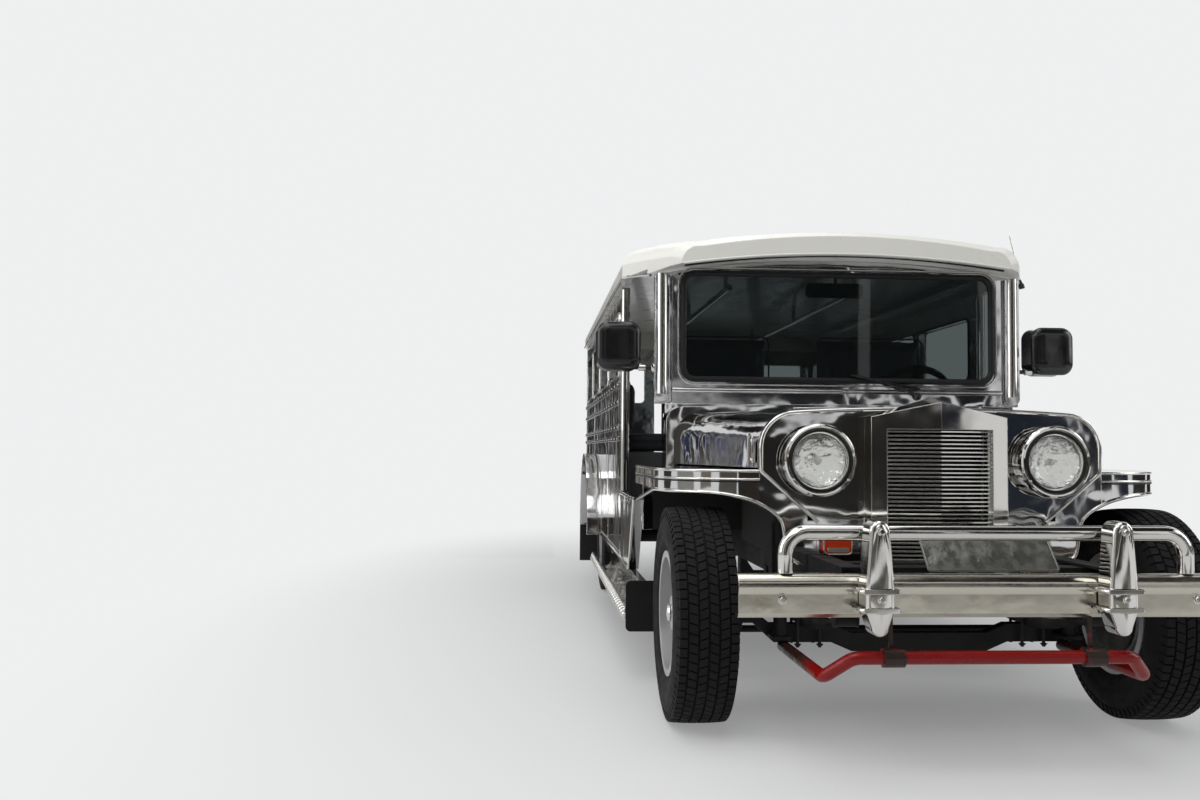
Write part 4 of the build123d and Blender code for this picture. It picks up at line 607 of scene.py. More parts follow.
# %% Set the tyre round each wheel
tyre_points, tyre_faces = joined(tyre_parts)
wheel_names = ("front_left", "front_right", "rear_left", "rear_right")
for wheel in wheel_names:
    low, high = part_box("tyre_" + wheel)
    centre = (low + high) / 2
    points = [point + centre for point in tyre_points]
    made = piece("tread_" + wheel, points, tyre_faces, tyre_rubber, "wheel_" + wheel, "tyre")
    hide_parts("tyre_" + wheel)
print("tyre faces:", len(tyre_faces))

# %% [markdown]
# ## Wheels
# Each rim is a pressed disc inside a rolled barrel. It is held by six nuts, and a small cap closes
# the hub. They are short lathes, set from the disc's own place, and they ride on the wheel, so
# they turn with it.

# %% Wheel nuts and hub caps
nut_count = 6
nut_circle = 0.078
# The disc's distance from the middle plane, and how far out of it the nuts and the cap sit
disc_x, nut_seat, cap_seat = 0.758, 0.0445, 0.0755
cap_profile = [(0.029, 0.0), (0.029, 0.006), (0.024, 0.012), (0.0, 0.014)]
for wheel in wheel_names:
    low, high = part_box("rim_" + wheel)
    middle = (low + high) / 2
    outward = 1 if middle.x > 0 else -1
    disc_middle = Vector((outward * disc_x, middle.y, middle.z))
    parts = []
    for i in range(nut_count):
        turn = 2 * math.pi * i / nut_count
        across, up = nut_circle * math.cos(turn), nut_circle * math.sin(turn)
        parts.append(bolt(disc_middle + Vector((outward * nut_seat, across, up)), (outward, 0, 0), 0.011))
    cap_place = disc_middle + Vector((outward * cap_seat, 0, 0))
    parts.append(lathe(cap_profile, cap_place, (outward, 0, 0), 32))
    piece("wheel_nuts_" + wheel, *joined(parts), chrome, "wheel_" + wheel, "chrome")
print("wheel nuts:", nut_count * len(wheel_names))

# %% [markdown]
# ## Windscreen
# The glass sits in a thick rubber seal with a bright trim round it. Both are tubes bent along the
# glass's own outline, so they stay with it if its size changes. The wiper is parked low on the
# left half, and a mirror hangs inside from the header.

# %% Rubber seal round the glass, and the trim round the seal
glass_low, glass_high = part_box("windscreen_glass")
loop = rounded_loop(glass_high.x - 0.010, glass_low.z + 0.010, glass_high.z - 0.010, 0.05)
route = [(x, glass_low.y - 0.004, z) for x, z in loop]
bead("windscreen_seal", route, 0.0125, seal_rubber, closed=True)
loop = rounded_loop(glass_high.x + 0.012, glass_low.z - 0.012, glass_high.z + 0.012, 0.066)
route = [(x, glass_low.y - 0.006, z) for x, z in loop]
bead("windscreen_trim", route, 0.003, chrome, closed=True)
print("windscreen width:", round(2 * glass_high.x, 3))

# %% Rounded faces of the windscreen posts
post_x, post_y = 0.755, -1.163
for side, word in sides:
    route = [(side * post_x, post_y, z) for z in (1.128, 1.20, 1.40, 1.638)]
    bead(f"post_face_{word}", route, 0.024, chrome)
print("post length:", round(route[-1][2] - route[0][2], 3))

# %% Wiper: pivot, arm, frame and blade
pivot = Vector((0.34, -1.164, 1.128))
elbow = Vector((0.20, -1.182, 1.182))
pivot_profile = [(0.017, 0.0), (0.015, 0.012), (0.009, 0.02), (0.0, 0.021)]
piece("wiper_pivot", *lathe(pivot_profile, pivot, (0, -1, 0.15), 24), black_plastic, slot="dash_plastic")
route = [pivot + Vector((0, -0.014, 0.004)), (0.28, -1.186, 1.158), elbow]
bead("wiper_arm", route, 0.0045, black_plastic, smooth=True)
route = [(0.335, -1.182, 1.166), elbow, (0.065, -1.180, 1.214)]
bead("wiper_frame", route, 0.004, black_plastic, smooth=True)
route = [(0.350, -1.172, 1.160), (0.20, -1.1725, 1.184), (0.050, -1.172, 1.214)]
bead("wiper_blade", route, 0.0045, seal_rubber, smooth=True)
print("wiper blade length:", round((Vector(route[-1]) - Vector(route[0])).length, 3))

# %% Mirror inside the cab
backward, tilted = (-1, 0, 0), (0, -0.12, 1)
shell_loop = rounded_loop(0.125, -0.032, 0.032, 0.02)
shell = slab(shell_loop, (0.0, -1.098, 1.585), backward, tilted, 0.014, 0.004)
stem_profile = [(0.006, -0.002), (0.006, 0.05), (0.014, 0.056), (0.014, 0.062)]
stem = lathe(stem_profile, (0.0, -1.100, 1.60), (0, -0.5, 1), 20)
piece("cab_mirror", *joined([shell, stem]), black_plastic, slot="dash_plastic")
glass_loop = rounded_loop(0.118, -0.026, 0.026, 0.016)
glass = slab(glass_loop, (0.0, -1.0845, 1.5865), backward, tilted, 0.0015, 0.0005)
piece("cab_mirror_glass", *glass, mirror_glass)
print("cab mirror width:", 2 * max(x for x, z in shell_loop))

# %% [markdown]
# ## Front sheet metal
# On the real vehicle every sheet edge is rolled over a wire. The rolled edge catches the light, so
# the front panel, the fenders and the doorways are drawn by thin bright beads. Beads are bent
# tubes, and their routes are worked out from the same outlines as the solids.

# %% Bead round the front panel
panel_face_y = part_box("front_panel")[0].y
# Columns: across, height
shoulder = (
    [(-0.380, 0.668), (-0.566, 0.830)]
    + arc((-0.566, 0.910), (-0.533, 0.987), (-0.456, 1.020), 8)
    + arc((-0.456, 1.020), (0.0, 1.035), (0.456, 1.020), 20)[1:]
    + arc((0.456, 1.020), (0.533, 0.987), (0.566, 0.910), 8)[1:]
    + [(0.566, 0.830), (0.380, 0.668)]
)
route = [(x * 0.992, panel_face_y - 0.001, z - 0.004) for x, z in shoulder]
bead("panel_bead", route, 0.0065, chrome)
print("points of the panel bead:", len(route))

# %% Fender outline from above
fender_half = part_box("front_fender_left")[1].x
corner = arc((0.566, panel_face_y), (0.7788, panel_face_y + 0.0957), (fender_half, panel_face_y + 0.33), 14)


def fender_front(x):
    """Where the fender's outer face stands at a distance from the middle."""
    if x <= corner[0][0]:
        return panel_face_y
    for (x0, y0), (x1, y1) in zip(corner, corner[1:]):
        if x <= x1:
            return y0 + (y1 - y0) * (x - x0) / (x1 - x0)
    return corner[-1][1]


# %% Fender beads: top edge, groove, the rolled edge of the arch and the skirt behind
# Columns: across, height
arch_line = (
    (0.440, 0.531), (0.471, 0.547), (0.483, 0.576), (0.487, 0.610), (0.489, 0.641), (0.500, 0.676),
    (0.540, 0.708), (0.590, 0.733), (0.645, 0.746), (0.700, 0.754), (0.760, 0.756), (0.820, 0.757),
    (0.850, 0.757), (0.8695, 0.757),
)
# Columns: along, height
arch_tail = ((-1.92, 0.755), (-1.7, 0.732), (-1.5, 0.711), (-1.33, 0.693))
# Columns: name, height, radius, finish, slot
fender_beads = (
    ("edge", 0.826, 0.0048, chrome, "chrome"),
    ("band", 0.799, 0.0042, chrome, "chrome"),
    ("groove", 0.7915, 0.0028, seal_rubber, "rubber"),
)
fender_rear_y = -1.27
for side, word in sides:
    top_route = [(side * x, y) for x, y in corner] + [(side * fender_half, fender_rear_y)]
    for name, z, radius, finish, slot in fender_beads:
        route = [(x + side * 0.0005, y, z) for x, y in top_route]
        bead(f"fender_{name}_{word}", route, radius, finish)
    route = [(side * x, fender_front(x) - 0.001, z) for x, z in arch_line]
    route += [(side * (fender_half + 0.001), y, z) for y, z in arch_tail]
    bead(f"fender_arch_{word}", route, 0.0065, chrome, smooth=True)
    route = [(side * 0.882, -1.276, 0.690), (side * 0.882, -1.072, 0.388), (side * 0.882, -1.0, 0.386)]
    bead(f"skirt_edge_{word}", route, 0.006, chrome)
print("fender corner points:", len(corner))

# %% Bonnet latches: a plate, a lever and two bolts on each side
latch_y = -2.150
latch_loop = rounded_loop(0.014, -0.045, 0.045, 0.006, 3)
lever_profile = [
    (0.0, -0.052), (0.0055, -0.05), (0.0055, 0.045), (0.009, 0.047), (0.009, 0.055), (0.0, 0.057),
]
for side, word in sides:
    parts = [slab(latch_loop, (side * 0.571, latch_y, 0.895), (0, side, 0), (0, 0, 1), 0.004)]
    parts.append(lathe(lever_profile, (side * 0.582, latch_y, 0.893), (0, 0, 1), 16))
    for z in (0.925, 0.862):
        parts.append(bolt((side * 0.575, latch_y, z), (side, 0, 0), 0.005))
    piece(f"bonnet_latch_{word}", *joined(parts), chrome, slot="chrome")
print("parts of a latch:", len(parts))

# %% [markdown]
# ## Lamps
# Behind each lens the bowl is plated, with a bulb at its middle. A flat bright disc would look
# painted on, so the bowl is turned to its real depth and the rippled lens bends what lies behind.
# Three screws hold the ring. The indicators have an orange upper half and a clear lower half.

# %% Headlamp dishes and bulbs
lamp_x, lamp_z, ring_y = 0.384, 0.862, -2.3175
forward = (0, -1, 0)
lens_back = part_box("headlamp_lenses")[1].y
dish_profile = [
    (0.0835, 0.0), (0.078, -0.005), (0.064, -0.0115), (0.046, -0.0175), (0.028, -0.0215), (0.0165, -0.023),
    (0.0, -0.023),
]
bulb_profile = [(0.014, 0.0), (0.014, 0.012), (0.009, 0.014), (0.0095, 0.026), (0.007, 0.036), (0.0, 0.039)]
for side, word in sides:
    shape = lathe(dish_profile, (side * lamp_x, lens_back + 0.0015, lamp_z), forward, 72)
    piece(f"headlamp_dish_{word}", *shape, reflector, slot="chrome", smooth_angle=60)
    shape = lathe(bulb_profile, (side * lamp_x, -2.262, lamp_z), forward, 24)
    piece(f"headlamp_bulb_{word}", *shape, bulb_glass, slot="lamp_glass")
print("lens back at y", round(lens_back, 4))

# %% Screws and gaskets of the headlamp rings
screw_circle, gasket_circle = 0.1075, 0.0958
screw_profile = [(0.0052, 0.0), (0.005, 0.0016), (0.003, 0.0032), (0.0, 0.0036)]
for side, word in sides:
    parts = []
    for degrees in (92, 215, 325):
        turn = math.radians(degrees)
        x = side * lamp_x + screw_circle * math.cos(turn)
        parts.append(lathe(screw_profile, (x, ring_y, lamp_z + screw_circle * math.sin(turn)), forward, 16))
    piece(f"headlamp_screws_{word}", *joined(parts), chrome, slot="chrome")
    route = []
    for step in range(48):
        turn = step * math.pi / 24
        x = side * lamp_x + gasket_circle * math.cos(turn)
        route.append((x, ring_y + 0.0035, lamp_z + gasket_circle * math.sin(turn)))
    bead(f"headlamp_gasket_{word}", route, 0.0052, seal_rubber, closed=True)
print("screws of a lamp ring:", len(parts))

# %% Front indicators: rims and clear halves
indicator_x, indicator_z = 0.318, 0.590
lamps_low, lamps_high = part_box("signal_lamps")
clear_loop = rounded_loop(0.036, -0.021, -0.006, 0.005, 3)
for side, word in sides:
    middle = (side * indicator_x, lamps_low.y + 0.002, indicator_z)
    rim_bead(f"indicator_rim_{word}", middle, 0.0455, 0.0255, 0.011, 0.003, chrome, 4)
    lower = slab(clear_loop, (side * indicator_x, lamps_low.y, indicator_z), (1, 0, 0), (0, 0, 1), 0.003)
    piece(f"indicator_clear_{word}", *lower, clear_plastic, slot="lamp_glass")
print("indicator face at y", round(lamps_low.y, 4))

# %% Tail lamps: rims and three lenses
tail_lamp_x, tail_lamp_z = 0.605, 0.860
# Columns: name, middle height, half height, finish
tail_lenses = (
    ("stop", 0.905, 0.052, red_lens),
    ("turn", 0.817, 0.028, amber),
    ("reverse", 0.774, 0.010, clear_plastic),
)
for side, word in sides:
    middle = (side * tail_lamp_x, lamps_high.y + 0.001, tail_lamp_z)
    rim_bead(f"tail_lamp_rim_{word}", middle, 0.0455, 0.1055, 0.019, 0.004, chrome, 4)
    for name, middle_z, half, finish in tail_lenses:
        loop = rounded_loop(0.038, -half, half, 0.007, 3)
        face = slab(loop, (side * tail_lamp_x, lamps_high.y, middle_z), (-1, 0, 0), (0, 0, 1), 0.004)
        piece(f"tail_{name}_{word}", *face, finish)
print("lenses of a tail lamp:", len(tail_lenses))

# %% [markdown]
# ## Bumper
# The bumper is a pressed channel bolted through its flat lower band. Each over-rider is bolted to
# it, and again to the hoop that passes behind. The over-riders' faces are crowned, which flat
# solids don't show, so a thin crowned skin is laid on each.

# %% Bolts on the bumper and its guard
rider_x = 0.344
bumper_face_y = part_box("bumper")[0].y
guard_face_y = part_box("bumper_guard")[0].y
bolts = []
for side in (-1, 1):
    bolts.append(bolt((side * 0.598, bumper_face_y + 0.006, 0.478), forward, 0.010))
    for z in (0.673, 0.488):
        bolts.append(bolt((side * rider_x, guard_face_y + 0.003, z), forward, 0.009))
piece("bumper_bolts", *joined(bolts), chrome, slot="chrome")
print("bumper bolts:", len(bolts))

# %% Crowned faces of the over-riders, in three lengths between the collars
# Columns: height, half width of the crown
crown_sections = (
    ((0.392, 0.008), (0.402, 0.015), (0.425, 0.021), (0.450, 0.025)),
    ((0.466, 0.029), (0.483, 0.030), (0.501, 0.029)),
    (
        (0.518, 0.030), (0.560, 0.028), (0.600, 0.0255), (0.640, 0.022), (0.668, 0.019), (0.684, 0.014),
        (0.692, 0.007),
    ),
)
rider_face_y, crown_height = guard_face_y + 0.0085, 0.0075


def grid_faces(rows, columns):
    """Faces between the points of a grid, given row by row."""
    return [
        (r * columns + c, r * columns + c + 1, (r + 1) * columns + c + 1, (r + 1) * columns + c)
        for r in range(rows - 1)
        for c in range(columns - 1)
    ]


for side, word in sides:
    parts = []
    for rows in crown_sections:
        points = []
        for z, half in rows:
            for step in range(13):
                u = step / 6 - 1
                y = rider_face_y - crown_height * (1 - u * u)
                points.append(Vector((side * rider_x + u * half, y, z)))
        parts.append((points, grid_faces(len(rows), 13)))
    piece(f"rider_crown_{word}", *joined(parts), chrome, slot="chrome", smooth_angle=60)
print("lengths of a crowned face:", len(crown_sections))

# %% Raised ridges of the over-riders' collars
collar_half, ridge_radius = 0.050, 0.0065
collar_y, collar_face_y = guard_face_y + 0.008, guard_face_y + 0.0065
for side, word in sides:
    left, right = side * rider_x - collar_half, side * rider_x + collar_half
    for height, z in (("upper", 0.509), ("lower", 0.458)):
        route = [(left, bumper_face_y - 0.002, z), (left, collar_y, z), (left + 0.008, collar_face_y, z)]
        route += [(right - 0.008, collar_face_y, z), (right, collar_y, z), (right, bumper_face_y - 0.002, z)]
        bead(f"rider_collar_{word}_{height}", route, ridge_radius, chrome)
print("collar width:", 2 * collar_half)

# %% Number plate: a raised rim and two bolts on the bare plate
lean = math.radians(42)
plate_up = Vector((0, math.sin(lean), math.cos(lean)))
plate_out = Vector((0, -math.cos(lean), math.sin(lean)))
plate_foot = Vector((0.030, -2.658, 0.549)) + plate_out * 0.003
loop = rounded_loop(0.191, 0.004, 0.136, 0.008, 4)
route = [plate_foot + Vector((x, 0, 0)) + plate_up * z for x, z in loop]
bead("plate_rim", route, 0.0018, plate_white, closed=True)
places = [plate_foot + Vector((side * 0.14, 0, 0)) + plate_up * 0.12 for side in (-1, 1)]
piece("plate_bolts", *joined([bolt(p, plate_out, 0.0065) for p in places]), chrome, slot="chrome")
print("plate bolts:", len(places))

# %% [markdown]
# ## Body sides
# The passenger body is sheet over a frame. Rolled strips cover its edges, each window opening has a
# pressed rim, and domed rivets hold the mouldings. The step under each side ends in a scalloped
# strip. What repeats along the body is spaced by a pitch, so a longer body only needs more of it.

# %% Window rims
side_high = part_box("body_side_left")[1]
jamb_y, tail_y = -0.580, side_high.y
window_count, window_gap, window_end = 4, 0.060, 0.095
free_length = tail_y - jamb_y - 2 * window_end - 3 * window_gap
window_length = free_length / window_count
loop = rounded_loop(window_length / 2 + 0.002, 1.248, 1.552, 0.037)
for side, word in sides:
    for i in range(window_count):
        middle_y = jamb_y + window_end + window_length / 2 + i * (window_length + window_gap)
        route = [(side * 0.8815, middle_y + y, z) for y, z in loop]
        bead(f"window_rim_{word}_{i + 1}", route, 0.0065, chrome, closed=True)
        route = [(side * 0.8385, middle_y + y, z) for y, z in loop]
        bead(f"window_rubber_{word}_{i + 1}", route, 0.005, seal_rubber, closed=True)
print("window length:", round(window_length, 3))

# %% Doorway edges, skirt hems and roof gutter
hem_x, hem_z, hem_radius = 0.881, 0.388, 0.006
gutter = (
    (0.792, -1.03, 1.652), (0.868, -0.93, 1.661), (0.900, -0.84, 1.664), (0.902, 0.5, 1.664),
    (0.902, 2.56, 1.664), (0.885, 2.66, 1.664),
)
for side, word in sides:
    route = [(side * 0.864, jamb_y - 0.002, z) for z in (0.70, 1.0, 1.35, 1.650)]
    bead(f"jamb_edge_{word}", route, 0.0165, chrome)
    route = [(side * 0.879, y, 0.690) for y in (-1.262, jamb_y)]
    bead(f"sill_edge_{word}", route, 0.0075, chrome)
    route = [(side * x, y, z) for x, y, z in gutter]
    bead(f"roof_gutter_{word}", route, 0.0075, stainless)
    for end, ends in (("front", (-1.0, 0.86)), ("rear", (1.74, 2.615))):
        route = [(side * hem_x, y, hem_z) for y in ends]
        bead(f"skirt_hem_{word}_{end}", route, hem_radius, chrome)
    route = [(side * 0.870, 2.618, z) for z in (0.392, 0.9, 1.3, 1.652)]
    bead(f"tail_edge_{word}", route, 0.0125, chrome)
print("gutter length:", round(gutter[-1][1] - gutter[0][1], 2))

# %% Hem and lining of the roof's visor
visor_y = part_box("roof")[0].y
visor = arc((-0.686, 1.659), (0.0, 1.7085), (0.686, 1.659), 24)
bead("visor_hem", [(x, visor_y + 0.003, z) for x, z in visor], 0.0055, white_paint)
route = [(x * 0.985, visor_y + 0.040, z - 0.002) for x, z in visor]
bead("visor_lining", route, 0.006, seal_rubber)
print("points of the visor's hem:", len(visor))

# %% Rivets along the mouldings
rivets = []
rivet_profile = [(0.0045, 0.0), (0.0042, 0.0012), (0.0026, 0.0024), (0.0, 0.0028)]
for side in (-1, 1):
    for z in (1.205, 1.122, 1.000, 0.945):
        for i in range(17):
            y = jamb_y + 0.10 + i * (tail_y - jamb_y - 0.2) / 16
            rivets.append(lathe(rivet_profile, (side * 0.8903, y, z), (side, 0, 0), 10))
piece("moulding_rivets", *joined(rivets), chrome, slot="chrome")
print("rivets:", len(rivets))

# %% Scalloped strip along each side step, with two rows of domed knobs
scallops = 34
strip_x, strip_z, strip_thick = 0.930, 0.236, 0.004
strip_start_y, strip_end_y = -1.478, 0.813
strip_pitch = (strip_end_y - strip_start_y) / scallops
large_knob = [(0.018, 0.0), (0.017, 0.004), (0.011, 0.010), (0.0, 0.013)]
small_knob = [(0.011, 0.0), (0.010, 0.004), (0.006, 0.008), (0.0, 0.009)]
scallop = [(0.0, 0.050), (0.0, 0.010)]
for t in range(1, 8):
    along = strip_pitch * (0.5 - 0.5 * math.cos(math.pi * t / 8))
    scallop.append((along, 0.010 - 0.016 * math.sin(math.pi * t / 8)))
scallop += [(strip_pitch, 0.010), (strip_pitch, 0.050)]
mirrored_scallop = [(-y, z) for y, z in reversed(scallop)]
for side, word in sides:
    parts = []
    loop = scallop if side > 0 else mirrored_scallop
    for i in range(scallops):
        y = strip_start_y + i * strip_pitch
        parts.append(slab(loop, (side * strip_x, y, strip_z), (0, side, 0), (0, 0, 1), strip_thick, 0.0012))
        place = (side * (strip_x + strip_thick), y + strip_pitch / 2, 0.250)
        parts.append(lathe(large_knob, place, (side, 0, 0), 14))
        place = (side * (strip_x + strip_thick), y, 0.272)
        parts.append(lathe(small_knob, place, (side, 0, 0), 12))
    piece(f"step_scallops_{word}", *joined(parts), chrome, slot="polished_steel")
print("scallop length:", round(strip_pitch, 4))

# %% Seams and rivets of the body's skin
seam_ys, seam_half, seam_rise = (0.2525, 1.806), 0.010, 0.0014
arch_start_y, arch_end_y = 0.79, 1.81
skin_rivet = [(0.0042, 0.0), (0.0036, 0.0014), (0.0018, 0.0022), (0.0, 0.0024)]
seam = [(-seam_half, 0.392), (seam_half, 0.392), (seam_half, 0.928), (-seam_half, 0.928)]
for side, word in sides:
    parts = []
    face_x = side * side_high.x
    for y in seam_ys:
        parts.append(slab(seam, (face_x, y, 0.0), (0, side, 0), (0, 0, 1), seam_rise, 0.0004))
        for i in range(9):
            place = (face_x + side * seam_rise, y, 0.42 + i * 0.06)
            parts.append(lathe(skin_rivet, place, (side, 0, 0), 10))
    for i in range(39):
        y = -0.54 + i * 0.0815
        if not arch_start_y < y < arch_end_y:
            parts.append(lathe(skin_rivet, (face_x, y, 0.408), (side, 0, 0), 10))
    piece(f"skin_seams_{word}", *joined(parts), stainless, slot="polished_steel")
print("seams and rivets of a side:", len(parts))

# %% Sheet joints across the roof, laid on its crown
joint_half, joint_steps = 0.82, 32
# Columns: along the roof, rise above its crown
joint_section = ((-0.016, -0.001), (-0.0145, 0.0016), (0.0145, 0.0016), (0.016, -0.001))
bpy.context.view_layer.update()
for number, y in enumerate((-0.42, 0.58, 1.58)):
    points = []
    for step in range(joint_steps + 1):
        x = -joint_half + 2 * joint_half * step / joint_steps
        place = nodes["roof"].ray_cast(Vector((x, y, 2.2)), Vector((0, 0, -1)))[1]
        points += [Vector((x, y + along, place.z + rise)) for along, rise in joint_section]
    faces = grid_faces(joint_steps + 1, len(joint_section))
    piece(f"roof_joint_{number}", points, faces, white_paint, slot="white_paint")
print("roof height at the edge of a joint:", round(place.z, 3))

# %% [markdown]
# ## Springs and cab fittings
# Two bent bolts with four nuts clamp each spring to its axle. In the cab the steering wheel
# gets its horn boss, and the column its two stalks. Dials and knobs sit in the dashboard.
# The boss is placed by a ray down the steering axis, so it meets the hub wherever the hub is.

# %% Spring clamps: two bent bolts on each spring
spring_x, clamp_half, wire_radius, nut_size = 0.380, 0.037, 0.0055, 0.009
rear_axle_y, rear_clamp_radius, rear_clamp_z = 1.3, 0.056, 0.352
for side, word in sides:
    nuts = []
    middle_x = side * spring_x
    for end, y in (("a", -2.144), ("b", -2.056)):
        route = [(middle_x - clamp_half, y, z) for z in (0.245, 0.372)]
        route += [(middle_x - 0.024, y, 0.383), (middle_x + 0.024, y, 0.383)]
        route += [(middle_x + clamp_half, y, z) for z in (0.372, 0.245)]
        bead(f"front_clamp_{word}_{end}", route, wire_radius, iron)
        nuts += [bolt((middle_x + s * clamp_half, y, 0.256), (0, 0, -1), nut_size) for s in (-1, 1)]
    for end, s in (("a", -1), ("b", 1)):
        x = middle_x + s * clamp_half
        route = [(x, rear_axle_y - rear_clamp_radius, z) for z in (0.246, rear_clamp_z)]
        for t in range(1, 8):
            back = rear_clamp_radius * math.cos(t * math.pi / 8)
            up = rear_clamp_radius * math.sin(t * math.pi / 8)
            route.append((x, rear_axle_y - back, rear_clamp_z + up))
        route += [(x, rear_axle_y + rear_clamp_radius, z) for z in (rear_clamp_z, 0.246)]
        bead(f"rear_clamp_{word}_{end}", route, wire_radius, iron)
        for e in (-1, 1):
            nuts.append(bolt((x, rear_axle_y + e * rear_clamp_radius, 0.254), (0, 0, -1), nut_size))
    piece(f"clamp_nuts_{word}", *joined(nuts), iron, slot="exhaust_steel")
print("clamp nuts of a side:", len(nuts))

# %% Horn boss and ring on the steering wheel
hub = Vector((0.39, -0.9097, 1.110))
axle = Vector((0, 0.81915, 0.57358))
top = nodes["steering_wheel"].ray_cast(hub + axle * 0.5, -axle)[1]
boss_profile = [(0.030, -0.002), (0.030, 0.004), (0.026, 0.009), (0.014, 0.0125), (0.0, 0.0135)]
ring_profile = [(0.035, -0.002), (0.035, 0.002), (0.0325, 0.0035), (0.0305, 0.002), (0.0305, -0.002)]
boss = lathe(boss_profile, top, axle, 40)
piece("horn_boss", *boss, black_plastic, body="steering_wheel", slot="dash_plastic")
ring = lathe(ring_profile, top, axle, 40)
piece("horn_ring", *ring, chrome, body="steering_wheel", slot="chrome")
print("steering boss at", [round(v, 3) for v in top])

# %% Stalks on the steering column
stalk_foot = top - axle * 0.105
knob_profile = [(0.0, -0.018), (0.006, -0.016), (0.0075, 0.012), (0.005, 0.018), (0.0, 0.019)]
for side, word in sides:
    route = [stalk_foot, stalk_foot + Vector((side * 0.07, 0, 0)) + axle * 0.01]
    route.append(stalk_foot + Vector((side * 0.15, 0, 0.005)) + axle * 0.032)
    bead(f"stalk_{word}", route, 0.0045, black_plastic, smooth=True)
    knob = lathe(knob_profile, route[-1], (side, 0, 0.1), 20)
    piece(f"stalk_knob_{word}", *knob, black_plastic, slot="dash_plastic")
print("stalks start at", [round(v, 3) for v in stalk_foot])

# %% Dials in the dashboard
dash_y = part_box("dashboard")[1].y
dial_z = 1.018
for x, radius, word in ((0.262, 0.040, "speed"), (0.518, 0.033, "fuel")):
    place = (x, dash_y, dial_z)
    profile = [(radius, -0.002), (radius, 0.006), (radius - 0.003, 0.008), (radius - 0.006, 0.005)]
    rim = lathe(profile + [(radius - 0.006, -0.002)], place, (0, 1, 0), 40)
    piece(f"dial_rim_{word}", *rim, chrome, slot="chrome")
    face = lathe([(radius - 0.005, 0.0), (radius - 0.006, 0.0025), (0.0, 0.003)], place, (0, 1, 0), 40)
    piece(f"dial_face_{word}", *face, seal_rubber, slot="dash_plastic")
    tip = radius * 0.7
    loop = [(-0.0012, 0.0), (0.0012, 0.0), (0.0005, tip), (-0.0005, tip)]
    needle = slab(loop, (x, dash_y + 0.0034, dial_z), (-1, 0, 0.5), (0.5, 0, 1), 0.0008, 0.0001)
    piece(f"dial_needle_{word}", *needle, red_lens)
print("dashboard face at y", round(dash_y, 4))

# %% Knobs and the glove box lid
knob_profile = [(0.011, 0.0), (0.011, 0.003), (0.006, 0.004), (0.006, 0.012), (0.009, 0.014), (0.009, 0.022)]
knob_profile.append((0.0, 0.024))
knobs = [lathe(knob_profile, (0.02 + i * 0.045, dash_y, 1.005), (0, 1, 0), 20) for i in range(4)]
piece("dash_knobs", *joined(knobs), black_plastic, slot="dash_plastic")
glove_x = -0.42
lid_middle = (glove_x, dash_y + 0.0006, 1.016)
rim_bead("glove_lid", lid_middle, 0.17, 0.040, 0.014, 0.0022, chrome, 4)
latch_profile = [(0.012, 0.0), (0.012, 0.004), (0.006, 0.006), (0.0, 0.0065)]
latch = lathe(latch_profile, (glove_x, dash_y, 1.042), (0, 1, 0), 20)
piece("glove_latch", *latch, chrome, slot="chrome")
print("knobs:", len(knobs))

# %% [markdown]
# ## Seats
# A stuffed cushion crowns between its edges and keeps a flat base. A rounded box never looks
# stuffed, so each cushion starts as a box a little smaller than its plain solid, and cloth with a
# little air in it swells the box while its resting face stays pinned. Then sewn channels are
# pressed in, and a corded seam runs round the rim.

# %% Boxes of the eight plain cushions
islands = bmesh.new()
islands.from_mesh(nodes["seat_cushions"].data)
bmesh.ops.remove_doubles(islands, verts=islands.verts[:], dist=0.00002)
unseen = set(islands.verts)
cushion_boxes = []
while unseen:
    group, reach = set(), [unseen.pop()]
    while reach:
        vert = reach.pop()
        group.add(vert)
        for edge in vert.link_edges:
            other = edge.other_vert(vert)
            if other in unseen:
                unseen.remove(other)
                reach.append(other)
    places = [nodes["seat_cushions"].matrix_world @ vert.co for vert in group]
    low = Vector([min(place[i] for place in places) for i in range(3)])
    high = Vector([max(place[i] for place in places) for i in range(3)])
    cushion_boxes.append((low, high))
islands.free()
cushion_boxes.sort(key=lambda box: (round(box[0].y, 2), round(box[0].x, 2), box[0].z))
print("cushions:", len(cushion_boxes))

# %% What the modifiers make of an object
def modified_mesh(made):
    """A new mesh of the object as its modifiers leave it. The modifiers are then taken off."""
    graph = bpy.context.evaluated_depsgraph_get()
    mesh = bpy.data.meshes.new_from_object(made.evaluated_get(graph))
    made.modifiers.clear()
    return mesh


# %% A bevelled block of even faces
def cushion_block(name, block, middle, voxel):
    """The cushion before it swells. block is its size."""
    shape = bmesh.new()
    bmesh.ops.create_cube(shape, size=1.0)
    for vert in shape.verts:
        vert.co = Vector([vert.co[i] * block[i] for i in range(3)])
    every = shape.edges[:] + shape.verts[:]
    bmesh.ops.bevel(shape, geom=every, offset=min(block) * 0.28, segments=3, profile=0.6, affect="EDGES")
    mesh = bpy.data.meshes.new(name)
    shape.to_mesh(mesh)
    shape.free()
    made = bpy.data.objects.new(name, mesh)
    bpy.context.scene.collection.objects.link(made)
    made.location = middle
    remesh = made.modifiers.new("remesh", "REMESH")
    remesh.mode = "VOXEL"
    remesh.voxel_size = voxel
    made.data = modified_mesh(made)
    return made


# %% Swell the block with a little air
cloth_pressure = 4
cloth_frames = 16


